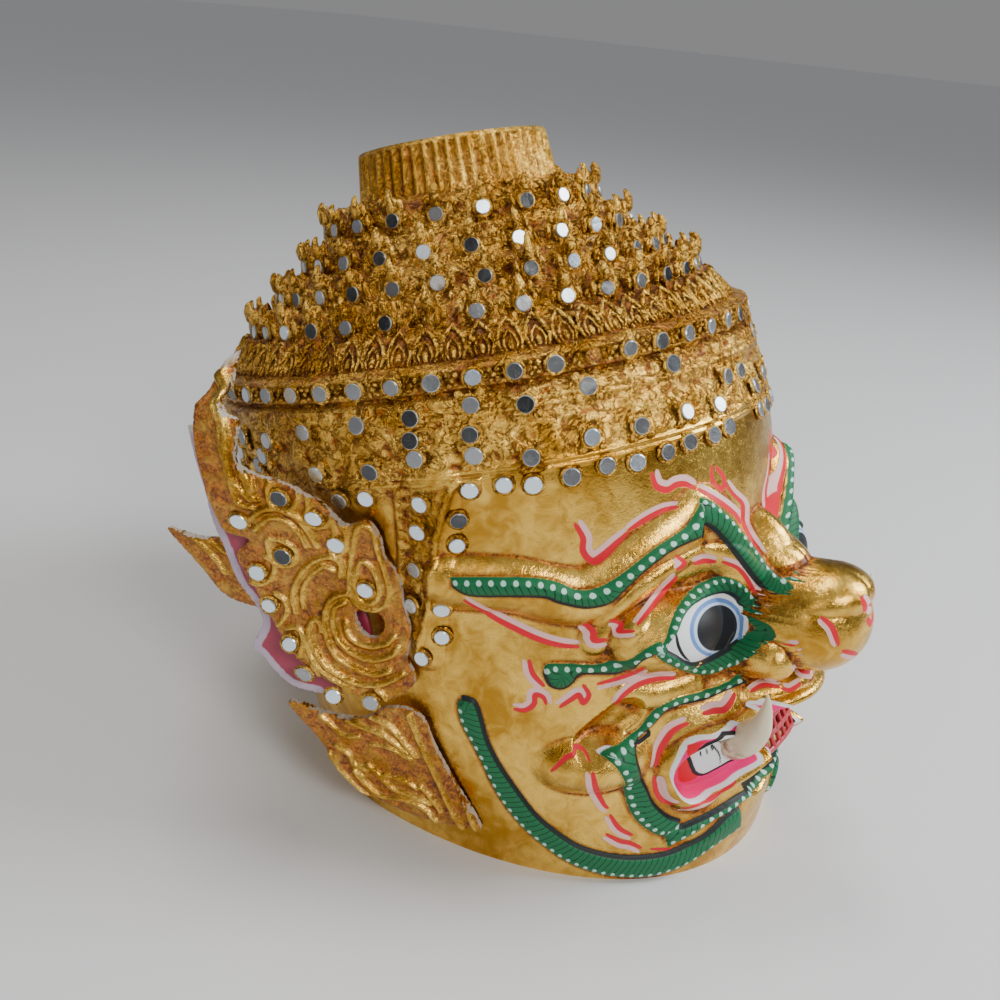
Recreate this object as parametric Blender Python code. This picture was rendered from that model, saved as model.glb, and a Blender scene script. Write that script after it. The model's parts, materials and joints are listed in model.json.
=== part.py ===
"""A gilded full-head dance mask of a demon, standing on its lower rim, leaning back a little.

Metres, +Z up. The face looks along -Y. Everything is modelled about the crown's own axis, which
meets the ground at the origin, and is then leaned back so that the cut rim lies flat.
"""

import math

import bmesh
import bpy
import numpy as np
from mathutils import Vector
from mathutils.bvhtree import BVHTree

# Driving sizes
HEAD_RADIUS = 0.108
LEAN_BACK = math.radians(17)
SHELL_WALL = 0.0045
COLLAR_HEIGHT = 0.0188
COLLAR_TOP_RADIUS = 0.0378
COLLAR_FOOT_RADIUS = 0.0405
COLLAR_WALL = 0.0042
COLLAR_FLOOR = 0.004
FLUTES = 52
FLUTE_DEPTH = 0.0011
EAR_PLATE_THICKNESS = 0.0028
BACKING_THICKNESS = 0.0022
JAW_PLATE_THICKNESS = 0.0026
REAR_FLAME_THICKNESS = 0.0022
TUSK_LENGTH = 0.048
TUSK_BASE_RADIUS = 0.0072
LATTICE_THICKNESS = 0.0022
LATTICE_BAR = 0.0024
FIT_GAP = 0.0004

# The carving is free form, so it keeps its proportions: one unit is a 108th of the head's radius.
UNIT = HEAD_RADIUS / 108
ARC = 1.95
FACE_TRIANGLES = 2300

# Cross-sections: height, centre forward, front reach, back reach, half width, all in units
SECTIONS = (
    (-45, -17, 112, 76, 84),
    (-20, -17, 122, 79, 88),
    (5, -15, 124, 82, 91),
    (35, -11, 124, 86, 94),
    (75, -6, 122, 94, 96),
    (105, -3, 120, 100, 97),
    (130, -1, 119, 106, 101),
    (147, 0, 116, 112, 107),
    (165, 0, 112, 112, 110),
    (176, 0, 110, 110, 110),
)
BAND_TOP = 176

# Rounded masses of the face: forward, side, height, three radii, blend
MASSES = {
    "muzzle": (92, 0, 34, 33, 46, 32, 12),
    "upper lip": (112, 0, 46, 22, 24, 11, 6),
    "nose bridge": (112, 0, 92, 20, 12, 22, 8),
    "nose": (136.8, 0, 73.5, 20.5, 20.5, 20.5, 6),
    "nostril": (127, 17, 62, 8.5, 8.5, 8.5, 3),
    "eyeball": (98, 40, 81, 25, 25, 17, 3),
    "cheek lobe": (68, 58, 34, 24, 20, 14, 8),
    "chin": (84, 0, -6, 22, 40, 16, 10),
}

# Raised and sunk lines of the face: degrees from the front and height, then half width and rise
BROW = ((64, 111), (58, 110), (51, 108), (44, 103), (38, 101), (32, 106), (26, 112), (20, 117),
        (16, 121), (12, 112), (9, 102), (6, 93), (2, 90))
LINES = {
    "brow ridge": (BROW, 11, 4.5),
    "brow ribbon": (BROW, 5.2, 2.4),
    "lid roll": (((38, 84), (34, 90), (28, 101), (20, 105), (13, 103), (8, 92)), 6, 3.0),
    "eye tail": (((31, 82), (34, 77), (38, 73), (43, 74), (47, 74)), 4, 2.4),
    "muzzle ribbon": (((9, 51), (16, 52), (23, 52), (28, 46), (33, 38), (34, 26), (33, 14),
                       (30, 4), (25, -4), (18, -5), (9, -5), (0, -6)), 5.5, 3.2),
    "lobe ribbon": (((31, 40), (36, 38), (40, 37)), 5, 3.6),
    "cheek crease": (((42, 42), (38, 48), (33, 54)), 6, -3.5),
    "under eye": (((34, 62), (28, 57), (20, 57)), 5, 2.0),
    "jaw ribbon": (((65, 63), (65, 48), (63, 34), (59, 20), (54, 7), (47, -5), (38, -14),
                    (28, -19), (14, -21), (0, -21)), 5.2, 2.0),
    "side strip": (((62, 150), (65, 128), (69, 108), (73, 84)), 9, 2.2),
}
EYE = ((31, 83), (27, 92), (21, 97), (14, 96), (10, 88), (9, 78), (11, 67), (17, 62), (24, 67))
EYE_BAND = (3.8, 2.2)
MOUTH = ((0, 42), (8, 42), (14, 38), (20, 37), (25, 31), (26, 20), (23, 9), (18, 6), (12, 12),
         (7, 19), (0, 21))
LIP = (4.2, 4.0)
MOUTH_SINK = 5

# Crown: radius, height, number of petals and where the first one sits, in parts of a step
PETAL_ROWS = (
    (88.5, 201, 37, 0.8),
    (76.2, 211.1, 31, 0.92),
    (63.9, 221.5, 25, 0.58),
    (52.5, 233.6, 21, 0.5),
)
PETAL_RISE = 10
LOTUS_ROW = (99, 190.5, 69)
CROWN_SEAT = 241.5
COLLAR_FOOT_HEIGHT = CROWN_SEAT * UNIT + FIT_GAP
CAVITY = ((150, 103), (166, 103), (181, 97), (194, 84), (206, 68), (216, 50), (223, 30), (227, 12))
CAVITY_SIDES = 24

# The grille in the mouth: half width, and lower and upper height, in units
GRILLE_HALF_WIDTH = 13
GRILLE_LOW = 24.5
GRILLE_HIGH = 38.5
GRILLE_FORWARD = 113
GRILLE_BEND = 60
SLOT_FRONT = 145
SLOT_BACK = 70

# Plates: outlines as distance out from the inner edge and height, in units
EAR_OUTLINE = (
    (46, 194), (50, 198), (53, 186), (55, 174), (56, 158), (57, 146), (57, 137), (50, 133),
    (58, 127), (56, 113), (53, 101), (49, 91), (44, 82), (37, 73), (27, 67), (15, 65), (4, 71),
    (3, 82), (0, 92), (1, 104), (0, 114), (3, 122), (2, 130), (4, 137), (12, 136), (17, 146),
    (27, 154), (36, 158), (42, 164), (38, 176), (43, 181),
)
EAR_HOLE = ((20, 101), (12, 101), (9, 96), (13, 91), (18, 93))
BACKING_OUTLINE = (
    (61, 176), (58, 156), (56, 138), (53, 118), (46, 105), (54, 91), (46, 84), (39, 75), (30, 68),
    (20, 70), (5, 78), (3, 96), (5, 116), (14, 134), (30, 140), (44, 150), (54, 166),
)
REAR_FLAME_OUTLINE = ((56, 136), (44, 131), (22, 128), (4, 118), (2, 104), (20, 98), (42, 104),
                      (50, 118))
JAW_OUTLINE = (
    (66, 63), (57, 46), (51, 30), (39, 18), (23, 10), (3, 6), (0, 9), (5, 28), (9, 44), (12, 58),
    (24, 61), (36, 56), (50, 58),
)
EAR_SCROLLS = (
    ((22, 109), (30, 104), (31, 94), (24, 86), (12, 85), (5, 87)),
    ((40, 120), (44, 106), (40, 90), (30, 80), (18, 76), (6, 77)),
    ((46, 140), (34, 134), (26, 122), (16, 116), (10, 122), (12, 130)),
    ((50, 184), (49, 170), (47, 158), (40, 148), (28, 144)),
)
JAW_SCROLLS = (
    ((7, 13), (12, 32), (17, 54)),
    ((56, 54), (44, 42), (34, 34), (25, 36)),
    ((45, 28), (36, 26), (27, 20), (17, 15)),
)
EAR_FLARE = math.radians(25)
JAW_FLARE = math.radians(20)
EAR_FORWARD = 26
BACKING_FORWARD = 10
REAR_FORWARD = -10
JAW_FORWARD = 33
RIB_RADIUS = 0.0022
TUSK_ANGLE = 14
TUSK_HEIGHT = 31
TUSK_ROOT_WAY = (0.40, -0.75, 0.45)
TUSK_TIP_WAY = (24, -24, 36)
TUSK_SOCKET = 0.004
TUSK_STEPS = 6
TUSK_SIDES = 10
TUSK_TIP_RADIUS = 0.0004


def smooth_section(height):
    """The five section values at each height, joined by smooth cubics."""
    table = np.array(SECTIONS, float)
    stations = table[:, 0]
    height = np.clip(height, stations[0], stations[-1])
    spot = np.clip(np.searchsorted(stations, height) - 1, 0, len(stations) - 2)
    span = stations[spot + 1] - stations[spot]
    t = (height - stations[spot]) / span
    values = []
    for column in range(1, 5):
        y = table[:, column]
        slope = np.gradient(y, stations)
        values.append(
            (2 * t**3 - 3 * t**2 + 1) * y[spot]
            + (t**3 - 2 * t**2 + t) * span * slope[spot]
            + (3 * t**2 - 2 * t**3) * y[spot + 1]
            + (t**3 - t**2) * span * slope[spot + 1]
        )
    return values


def skull_radius(angle, height):
    """Distance from the crown's axis to the plain skull, which is two half ellipses."""
    centre, front, back, side = smooth_section(height)
    forward = np.cos(angle)
    sideways = np.sin(angle)

    def reach(length):
        a = (forward / length) ** 2 + (sideways / side) ** 2
        b = -2 * forward * centre / length**2
        c = (centre / length) ** 2 - 1
        return (-b + np.sqrt(np.maximum(b * b - 4 * a * c, 0))) / (2 * a)

    ahead = reach(front)
    return np.where(ahead * forward >= centre, ahead, reach(back))


def mass_radius(angle, height, forward, side, middle, deep, wide, tall):
    """Distance from the axis to the far side of a rounded mass, and its mirror image."""
    c = np.cos(angle)
    s = np.abs(np.sin(angle))
    a = (c / deep) ** 2 + (s / wide) ** 2
    b = -2 * (c * forward / deep**2 + s * side / wide**2)
    rest = (forward / deep) ** 2 + (side / wide) ** 2 - 1 + ((height - middle) / tall) ** 2
    inside = b * b - 4 * a * rest
    root = np.where(inside > 0, np.sqrt(np.abs(inside)), -3 * np.sqrt(np.abs(inside)))
    return (-b + root) / (2 * a)


def blend_out(first, second, width):
    share = np.clip(0.5 + 0.5 * (second - first) / width, 0, 1)
    return first * (1 - share) + second * share + width * share * (1 - share)


def smooth_path(points, steps=5, closed=False):
    """A curve through the points, with a few steps in each span."""
    p = np.array(points, float)
    count = len(p)
    spans = count if closed else count - 1
    made = []
    for i in range(spans):
        if closed:
            near = [p[(i + k) % count] for k in (-1, 0, 1, 2)]
        else:
            near = [p[min(max(i + k, 0), count - 1)] for k in (-1, 0, 1, 2)]
        for step in range(steps):
            t = step / steps
            made.append(
                0.5 * (2 * near[1] + (near[2] - near[0]) * t
                       + (2 * near[0] - 5 * near[1] + 4 * near[2] - near[3]) * t**2
                       + (3 * near[1] - near[0] - 3 * near[2] + near[3]) * t**3)
            )
    if not closed:
        made.append(p[-1])
    return np.array(made)


def line_distance(across, height, path):
    """Distance, in units over the unrolled face, to a path of degrees and heights."""
    p = path * (ARC, 1)
    nearest = np.full(np.shape(across), 1e9)
    for a, b in zip(p[:-1], p[1:]):
        along = b - a
        t = ((across - a[0]) * along[0] + (height - a[1]) * along[1]) / max(along @ along, 1e-9)
        t = np.clip(t, 0, 1)
        nearest = np.minimum(nearest, np.hypot(across - a[0] - t * along[0],
                                               height - a[1] - t * along[1]))
    return nearest


def inside_path(across, height, path):
    """True where a point of the unrolled face lies inside a closed path."""
    p = path * (ARC, 1)
    inside = np.zeros(np.shape(across), bool)
    for a, b in zip(p, np.roll(p, -1, axis=0)):
        crosses = (a[1] > height) != (b[1] > height)
        rise = b[1] - a[1] if b[1] != a[1] else 1e-9
        inside ^= crosses & (across < a[0] + (height - a[1]) / rise * (b[0] - a[0]))
    return inside


def rounded(distance, half_width):
    return np.clip(1 - (distance / half_width) ** 2, 0, 1) ** 0.8


def both_sides(half):
    """A closed path from the half of it on one side, from the top of the middle to the bottom."""
    one = smooth_path(half)
    other = one[::-1] * (-1, 1)
    return np.vstack([one, other[1:-1]])


MOUTH_PATH = both_sides(MOUTH)
EYE_PATH = smooth_path(EYE, closed=True)


def face_radius(angle, height):
    """Distance from the axis to the carved face, in units."""
    r = skull_radius(angle, height)
    for forward, side, middle, deep, wide, tall, blend in MASSES.values():
        mass = mass_radius(angle, height, forward, side, middle, deep, wide, tall)
        r = blend_out(r, mass, blend)
    across = np.degrees(np.abs(angle)) * ARC
    for points, half_width, rise in LINES.values():
        r = r + rise * rounded(line_distance(across, height, smooth_path(points)), half_width)
    eye = np.vstack([EYE_PATH, EYE_PATH[:1]])
    r = r + EYE_BAND[1] * rounded(line_distance(across, height, eye), EYE_BAND[0])
    mouth = np.vstack([MOUTH_PATH, MOUTH_PATH[:1]])
    edge = line_distance(across, height, mouth)
    r = r + LIP[1] * rounded(edge, LIP[0])
    hollow = inside_path(across, height, MOUTH_PATH) * np.clip(edge / LIP[0], 0, 1)
    return r - MOUTH_SINK * hollow


def rim_height(angle, radius_of):
    """Height at which a wall meets the ground, which the lean makes a slanted plane."""
    height = np.zeros_like(angle)
    for _ in range(60):
        height = 0.5 * height - 0.5 * radius_of(angle, height) * np.cos(angle) * math.tan(LEAN_BACK)
    return height


def cavity_radius(angle, height):
    return np.minimum(skull_radius(angle, height), face_radius(angle, height)) - SHELL_WALL / UNIT


def place(angle, radius, height):
    """Points in metres about the crown's axis, from angles, radii and heights in units."""
    points = np.stack(np.broadcast_arrays(
        radius * np.sin(angle), -radius * np.cos(angle), height), axis=-1)
    return points * UNIT


def add_ring(bm, points):
    return [bm.verts.new(tuple(point)) for point in points]


def turn(vert):
    return math.atan2(vert.co.x, -vert.co.y) % (2 * math.pi)


def zip_rings(bm, lower, upper):
    """Joins two rings of any two counts with triangles, turned outward."""
    lower = sorted(lower, key=turn)
    upper = sorted(upper, key=turn)
    low_turns = [turn(v) for v in lower] + [turn(lower[0]) + 2 * math.pi]
    high_turns = [turn(v) for v in upper] + [turn(upper[0]) + 2 * math.pi]
    i = j = 0
    while i < len(lower) or j < len(upper):
        a = lower[i % len(lower)]
        b = upper[j % len(upper)]
        low_next = low_turns[i + 1] if i < len(lower) else 1e9
        high_next = high_turns[j + 1] if j < len(upper) else 1e9
        if low_next <= high_next:
            i += 1
            bm.faces.new((a, lower[i % len(lower)], b))
        else:
            j += 1
            bm.faces.new((a, upper[j % len(upper)], b))


def material(name, colour, roughness, metallic):
    made = bpy.data.materials.new(name)
    made.use_nodes = True
    shader = made.node_tree.nodes["Principled BSDF"]
    shader.inputs["Base Color"].default_value = (*colour, 1)
    shader.inputs["Roughness"].default_value = roughness
    shader.inputs["Metallic"].default_value = metallic
    return made


def finish(name, bm, skin, parent):
    """Turns a bmesh into a named object under the leaning axis."""
    bmesh.ops.recalc_face_normals(bm, faces=bm.faces[:])
    if bm.calc_volume(signed=True) < 0:
        bmesh.ops.reverse_faces(bm, faces=bm.faces[:])
    mesh = bpy.data.meshes.new(name)
    bm.to_mesh(mesh)
    bm.free()
    mesh.materials.append(skin)
    obj = bpy.data.objects.new(name, mesh)
    bpy.context.scene.collection.objects.link(obj)
    obj.parent = parent
    return obj


def thinned(bm, triangles):
    """The same surface with fewer triangles, kept where the carving bends most."""
    mesh = bpy.data.meshes.new("fine face")
    bm.to_mesh(mesh)
    bm.free()
    fine = bpy.data.objects.new("fine face", mesh)
    bpy.context.scene.collection.objects.link(fine)
    modifier = fine.modifiers.new("fewer triangles", "DECIMATE")
    modifier.use_collapse_triangulate = True
    modifier.ratio = triangles / (2 * len(mesh.polygons))
    graph = bpy.context.evaluated_depsgraph_get()
    coarse = bmesh.new()
    coarse.from_object(fine, graph)
    bpy.data.objects.remove(fine)
    bpy.data.meshes.remove(mesh)
    return coarse


def face_skin():
    """The carved face and skull from the rim to the top of the mirror band, with open ends."""
    angles = np.radians(np.concatenate([
        np.linspace(-75, 75, 121)[:-1], np.linspace(75, 285, 71)[:-1]]))
    lowest = rim_height(angles, face_radius)
    bm = bmesh.new()
    rows = []
    for share in np.linspace(0, 1, 111):
        height = lowest + share * (BAND_TOP - lowest)
        rows.append(add_ring(bm, place(angles, face_radius(angles, height), height)))
    for low, high in zip(rows[:-1], rows[1:]):
        for k in range(len(angles)):
            n = (k + 1) % len(angles)
            bm.faces.new((low[k], low[n], high[n], high[k]))
    return thinned(bm, FACE_TRIANGLES)


def open_ends(bm):
    """The lower and upper open rings of a skin, the lower one set exactly on the ground."""
    edge_verts = {v for edge in bm.edges if edge.is_boundary for v in edge.verts}
    upper = [v for v in edge_verts if v.co.z > (BAND_TOP - 5) * UNIT]
    lower = [v for v in edge_verts if v.co.z <= (BAND_TOP - 5) * UNIT]
    for v in lower:
        v.co.z = v.co.y * math.tan(LEAN_BACK)
    for v in upper:
        v.co.z = BAND_TOP * UNIT
    return lower, upper


def plain_ring(bm, radius, height, count):
    angles = np.arange(count) * 2 * math.pi / count
    return add_ring(bm, place(angles, np.full(count, radius), np.full(count, height)))


def toothed_ring(bm, count, first, radii, heights):
    """A ring with a point on each petal and one in each gap between two petals."""
    steps = np.arange(2 * count)
    angles = (steps / 2 + first) * 2 * math.pi / count
    petal = steps % 2 == 0
    return add_ring(bm, place(
        angles, np.where(petal, radii[0], radii[1]), np.where(petal, heights[0], heights[1])))


def crown_rings(bm):
    """The stepped crown from the mirror band up to the seat of the collar."""
    rings = [
        plain_ring(bm, 106.5, 177.5, 64),
        plain_ring(bm, 109, 179, 64),
        plain_ring(bm, 108.5, 185, 64),
        plain_ring(bm, 103.5, 186, 64),
    ]
    radius, height, count = LOTUS_ROW
    rings.append(toothed_ring(bm, count, 0, (radius + 3.5, radius + 1), (height - 1, height - 2)))
    rings.append(toothed_ring(bm, count, 0, (radius, radius - 3), (height + 5, height + 2)))
    rings.append(plain_ring(bm, radius - 5, height + 3.5, 60))
    for radius, height, count, first in PETAL_ROWS:
        rings.append(toothed_ring(
            bm, count, first, (radius + 1.5, radius + 1), (height - 4.5, height - 4.5)))
        rings.append(toothed_ring(
            bm, count, first, (radius + 2.5, radius - 1), (height, height)))
        rings.append(toothed_ring(
            bm, count, first, (radius + 1.5, radius - 2), (height + PETAL_RISE, height + 2.5)))
        rings.append(plain_ring(bm, radius - 5, height + 4, count))
    rings.append(plain_ring(bm, COLLAR_FOOT_RADIUS / UNIT + 2, CROWN_SEAT - 2, 32))
    rings.append(plain_ring(bm, COLLAR_FOOT_RADIUS / UNIT, CROWN_SEAT, 32))
    return rings


def cavity_rings(bm):
    """The hollow for the wearer's head, from the rim up into the crown."""
    angles = np.arange(CAVITY_SIDES) * 2 * math.pi / CAVITY_SIDES
    lowest = rim_height(angles, cavity_radius)
    rings = []
    for share in np.linspace(0, 0.85, 5):
        height = lowest + share * (CAVITY[0][0] - lowest)
        rings.append(add_ring(bm, place(angles, cavity_radius(angles, height), height)))
    for height, radius in CAVITY:
        rings.append(plain_ring(bm, radius, height, CAVITY_SIDES))
    return rings


def head_shell(parent, skin):
    """Face, skull and crown, moulded as one hollow shell that is open below."""
    bm = face_skin()
    lower, upper = open_ends(bm)
    outside = [upper] + crown_rings(bm)
    for low, high in zip(outside[:-1], outside[1:]):
        zip_rings(bm, low, high)
    bm.faces.new(outside[-1])
    inside = cavity_rings(bm)
    zip_rings(bm, inside[0], lower)
    for low, high in zip(inside[:-1], inside[1:]):
        zip_rings(bm, high, low)
    bm.faces.new(inside[-1])
    shell = finish("head_shell", bm, skin, parent)
    boolean(shell, mouth_cutter(parent, skin), "DIFFERENCE")
    return shell


def box_mesh(low, high):
    bm = bmesh.new()
    bmesh.ops.create_cube(bm, size=1)
    for v in bm.verts:
        for k in range(3):
            v.co[k] = low[k] if v.co[k] < 0 else high[k]
    return bm


def mouth_cutter(parent, skin):
    """Cuts the slot behind the grille through the wall."""
    half = GRILLE_HALF_WIDTH * UNIT
    bm = box_mesh((-half, -SLOT_FRONT * UNIT, GRILLE_LOW * UNIT),
                  (half, -SLOT_BACK * UNIT, GRILLE_HIGH * UNIT))
    return finish("mouth_cutter", bm, skin, parent)


def mouth_lattice(parent, skin):
    """The pierced grille in the mouth, bent round the muzzle, with square holes."""
    half = GRILLE_HALF_WIDTH * UNIT - FIT_GAP
    low = GRILLE_LOW * UNIT + FIT_GAP
    high = GRILLE_HIGH * UNIT - FIT_GAP
    across = hole_lines(-half, half, 4)
    up = hole_lines(low, high, 2)
    front = -GRILLE_FORWARD * UNIT
    bend = GRILLE_BEND * UNIT
    bm = bmesh.new()
    corner = {}
    for i, x in enumerate(across):
        for j, z in enumerate(up):
            sweep = x * x / (2 * bend)
            for k, depth in enumerate((0, LATTICE_THICKNESS)):
                corner[i, j, k] = bm.verts.new((x, front + sweep + depth, z))
    solid = {(i, j) for i in range(len(across) - 1) for j in range(len(up) - 1)
             if not (i % 2 and j % 2)}
    for i, j in solid:
        for k in (0, 1):
            bm.faces.new([corner[i, j, k], corner[i + 1, j, k],
                          corner[i + 1, j + 1, k], corner[i, j + 1, k]])
        for step, a, b in (((-1, 0), (0, 0), (0, 1)), ((1, 0), (1, 0), (1, 1)),
                           ((0, -1), (0, 0), (1, 0)), ((0, 1), (0, 1), (1, 1))):
            if (i + step[0], j + step[1]) not in solid:
                ends = [(i + a[0], j + a[1]), (i + b[0], j + b[1])]
                bm.faces.new([corner[(*ends[0], 0)], corner[(*ends[1], 0)],
                              corner[(*ends[1], 1)], corner[(*ends[0], 1)]])
    return finish("mouth_lattice", bm, skin, parent)


def hole_lines(start, end, holes):
    """Places where bars and holes change, from one edge to the other."""
    hole = (end - start - (holes + 1) * LATTICE_BAR) / holes
    lines = [start]
    for _ in range(holes):
        lines.append(lines[-1] + LATTICE_BAR)
        lines.append(lines[-1] + hole)
    lines.append(end)
    return lines


def crown_collar(parent, skin):
    """The fluted socket on top, which is open above for the spire that it has lost."""
    foot = COLLAR_FOOT_HEIGHT
    top = foot + COLLAR_HEIGHT
    lip = top - 0.003
    bm = bmesh.new()
    steps = np.arange(2 * FLUTES)
    angles = steps * math.pi / FLUTES
    groove = np.where(steps % 2 == 0, 0, FLUTE_DEPTH)

    def fluted(radius, height, share):
        return add_ring(bm, place(angles, (radius - groove * share) / UNIT,
                                  np.full(len(steps), height / UNIT)))

    def smooth(radius, height):
        return plain_ring(bm, radius / UNIT, height / UNIT, FLUTES // 2)

    rings = [
        smooth(COLLAR_TOP_RADIUS - COLLAR_WALL, foot + COLLAR_FLOOR),
        smooth(COLLAR_TOP_RADIUS - COLLAR_WALL, top),
        smooth(COLLAR_TOP_RADIUS, top),
        smooth(COLLAR_TOP_RADIUS, lip),
        fluted(COLLAR_TOP_RADIUS, lip - 0.0005, 1),
        fluted(COLLAR_FOOT_RADIUS, foot + 0.0015, 1),
        smooth(COLLAR_FOOT_RADIUS - FLUTE_DEPTH, foot),
    ]
    for first, second in zip(rings[:-1], rings[1:]):
        zip_rings(bm, first, second)
    bm.faces.new(rings[0])
    bm.faces.new(rings[-1])
    return finish("crown_collar", bm, skin, parent)


def side_finder(shell):
    """Returns a function that gives the shell's half width at a place forward and a height."""
    bm = bmesh.new()
    bm.from_mesh(shell.data)
    tree = BVHTree.FromBMesh(bm)
    bm.free()

    def half_width(forward, height):
        start = Vector((4 * HEAD_RADIUS, -forward, height))
        point = tree.ray_cast(start, Vector((-1, 0, 0)))[0]
        return point.x if point else 0.8 * HEAD_RADIUS

    return half_width


def swept_bar(path, place_on, radius, sides=5):
    """A tapered round bar along a path on a plate, for one rib of the carving."""
    bm = bmesh.new()
    centres = [Vector(place_on(s, h, 0)) for s, h in path]
    rings = []
    for k, centre in enumerate(centres):
        ahead = centres[min(k + 1, len(centres) - 1)] - centres[max(k - 1, 0)]
        across = ahead.cross(Vector((1, 0, 0))).normalized()
        out = across.cross(ahead).normalized()
        size = radius * (0.55 + 0.45 * math.sin(math.pi * (k + 0.5) / len(centres)))
        rings.append([
            bm.verts.new(centre + size * (math.cos(t) * across + math.sin(t) * out))
            for t in (2 * math.pi * n / sides for n in range(sides))])
    for first, second in zip(rings[:-1], rings[1:]):
        for n in range(sides):
            m = (n + 1) % sides
            bm.faces.new((first[n], first[m], second[m], second[n]))
    bm.faces.new(rings[0])
    bm.faces.new(rings[-1])
    return bm


def flat_plate(outline, holes, place_on, thickness):
    """A cut plate: an outline with holes, filled, given a thickness and laid in its place."""
    bm = bmesh.new()
    edges = []
    for path in [outline] + list(holes):
        verts = [bm.verts.new((s, h, 0)) for s, h in path]
        for a, b in zip(verts, verts[1:] + verts[:1]):
            edges.append(bm.edges.new((a, b)))
    bmesh.ops.triangle_fill(bm, use_beauty=True, use_dissolve=False, edges=edges)
    made = bmesh.ops.extrude_face_region(bm, geom=bm.faces[:])
    raised = {v for v in made["geom"] if isinstance(v, bmesh.types.BMVert)}
    for v in bm.verts:
        v.co = Vector(place_on(v.co.x, v.co.y, thickness if v in raised else 0))
    return bm


def mirror_twin(bm, name, skin, parent):
    """Makes the same piece for both sides of the head, the left one first."""
    twin = bm.copy()
    for v in twin.verts:
        v.co.x = -v.co.x
    return [finish(name + "_left", bm, skin, parent), finish(name + "_right", twin, skin, parent)]


def side_place(half_width, forward, flare):
    """Lays plate sizes on the left of the head, from an inner edge that touches the shell."""
    run = math.cos(flare)
    rise = math.sin(flare)

    def place_on(out, height, depth):
        touch = half_width(forward * UNIT, height * UNIT) + FIT_GAP
        x = touch + out * UNIT * rise + depth * run
        y = -forward * UNIT + out * UNIT * run - depth * rise
        return (x, y, height * UNIT)

    return place_on


def helper(obj):
    obj.hide_render = True
    obj.display_type = "WIRE"


def boolean(obj, other, operation):
    helper(other)
    modifier = obj.modifiers.new(other.name, "BOOLEAN")
    modifier.operation = operation
    modifier.object = other


def plate_pair(name, outline, holes, place_on, thickness, skin, scrolls, parent):
    """A plate for each side, with the raised ribs of its carving fused on."""
    pair = mirror_twin(flat_plate(outline, holes, place_on, thickness), name, skin, parent)
    for number, points in enumerate(scrolls):
        def on_face(out, height, depth):
            return place_on(out, height, thickness)
        bar = swept_bar(smooth_path(points, 2), on_face, RIB_RADIUS)
        ribs = mirror_twin(bar, f"{name}_rib_{number}", skin, parent)
        for plate, rib in zip(pair, ribs):
            boolean(plate, rib, "UNION")


def side_pieces(parent, shell, gilt, red):
    """The plates beside the ears and jaws, made on one side and repeated on the other."""
    half_width = side_finder(shell)
    ear_place = side_place(half_width, EAR_FORWARD, EAR_FLARE)
    backing_place = side_place(half_width, BACKING_FORWARD, EAR_FLARE)
    rear_place = side_place(half_width, REAR_FORWARD, EAR_FLARE)
    jaw_place = side_place(half_width, JAW_FORWARD, JAW_FLARE)
    plate_pair("ear_plate", smooth_path(EAR_OUTLINE, 1, True), [EAR_HOLE], ear_place,
               EAR_PLATE_THICKNESS, gilt, EAR_SCROLLS, parent)
    plate_pair("ear_backing", smooth_path(BACKING_OUTLINE, 1, True), [], backing_place,
               BACKING_THICKNESS, red, (), parent)
    plate_pair("rear_flame", smooth_path(REAR_FLAME_OUTLINE, 1, True), [], rear_place,
               REAR_FLAME_THICKNESS, gilt, (), parent)
    plate_pair("jaw_plate", smooth_path(JAW_OUTLINE, 1, True), [], jaw_place,
               JAW_PLATE_THICKNESS, gilt, JAW_SCROLLS, parent)


def round_bar(centres, radii, sides):
    """A closed bar of changing radius along a line of points."""
    bm = bmesh.new()
    rings = []
    for k, centre in enumerate(centres):
        ahead = (centres[min(k + 1, len(centres) - 1)] - centres[max(k - 1, 0)]).normalized()
        across = ahead.cross(Vector((0, 0, 1))).normalized()
        up = across.cross(ahead)
        rings.append([
            bm.verts.new(centre + radii[k] * (math.cos(t) * across + math.sin(t) * up))
            for t in (2 * math.pi * n / sides for n in range(sides))])
    for first, second in zip(rings[:-1], rings[1:]):
        for n in range(sides):
            m = (n + 1) % sides
            bm.faces.new((first[n], first[m], second[m], second[n]))
    bm.faces.new(rings[0])
    bm.faces.new(rings[-1])
    return bm


def tusks(parent, shell, ivory):
    """Two curved tusks, each with its root in a socket in the lip."""
    angle = math.radians(TUSK_ANGLE)
    radius = float(face_radius(np.array([angle]), np.array([TUSK_HEIGHT]))[0])
    lip = Vector(place(angle, radius, TUSK_HEIGHT))
    root = Vector(TUSK_ROOT_WAY).normalized()
    sunk = lip - root * TUSK_SOCKET
    tip = lip + Vector(TUSK_TIP_WAY).normalized() * TUSK_LENGTH
    bend = lip + root * TUSK_LENGTH * 0.4
    steps = [k / TUSK_STEPS for k in range(TUSK_STEPS + 1)]
    curve = [(1 - t) ** 2 * lip + 2 * t * (1 - t) * bend + t**2 * tip for t in steps]
    radii = [TUSK_BASE_RADIUS * (1 - t**1.3) + TUSK_TIP_RADIUS for t in steps]
    centres = [sunk] + curve
    radii = [radii[0]] + radii
    mirror_twin(round_bar(centres, radii, TUSK_SIDES), "tusk", ivory, parent)
    deeper = [sunk - root * FIT_GAP] + curve
    socket = round_bar(deeper, [radius + FIT_GAP for radius in radii], TUSK_SIDES)
    for cutter in mirror_twin(socket, "tusk_socket", ivory, parent):
        boolean(shell, cutter, "DIFFERENCE")


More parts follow.
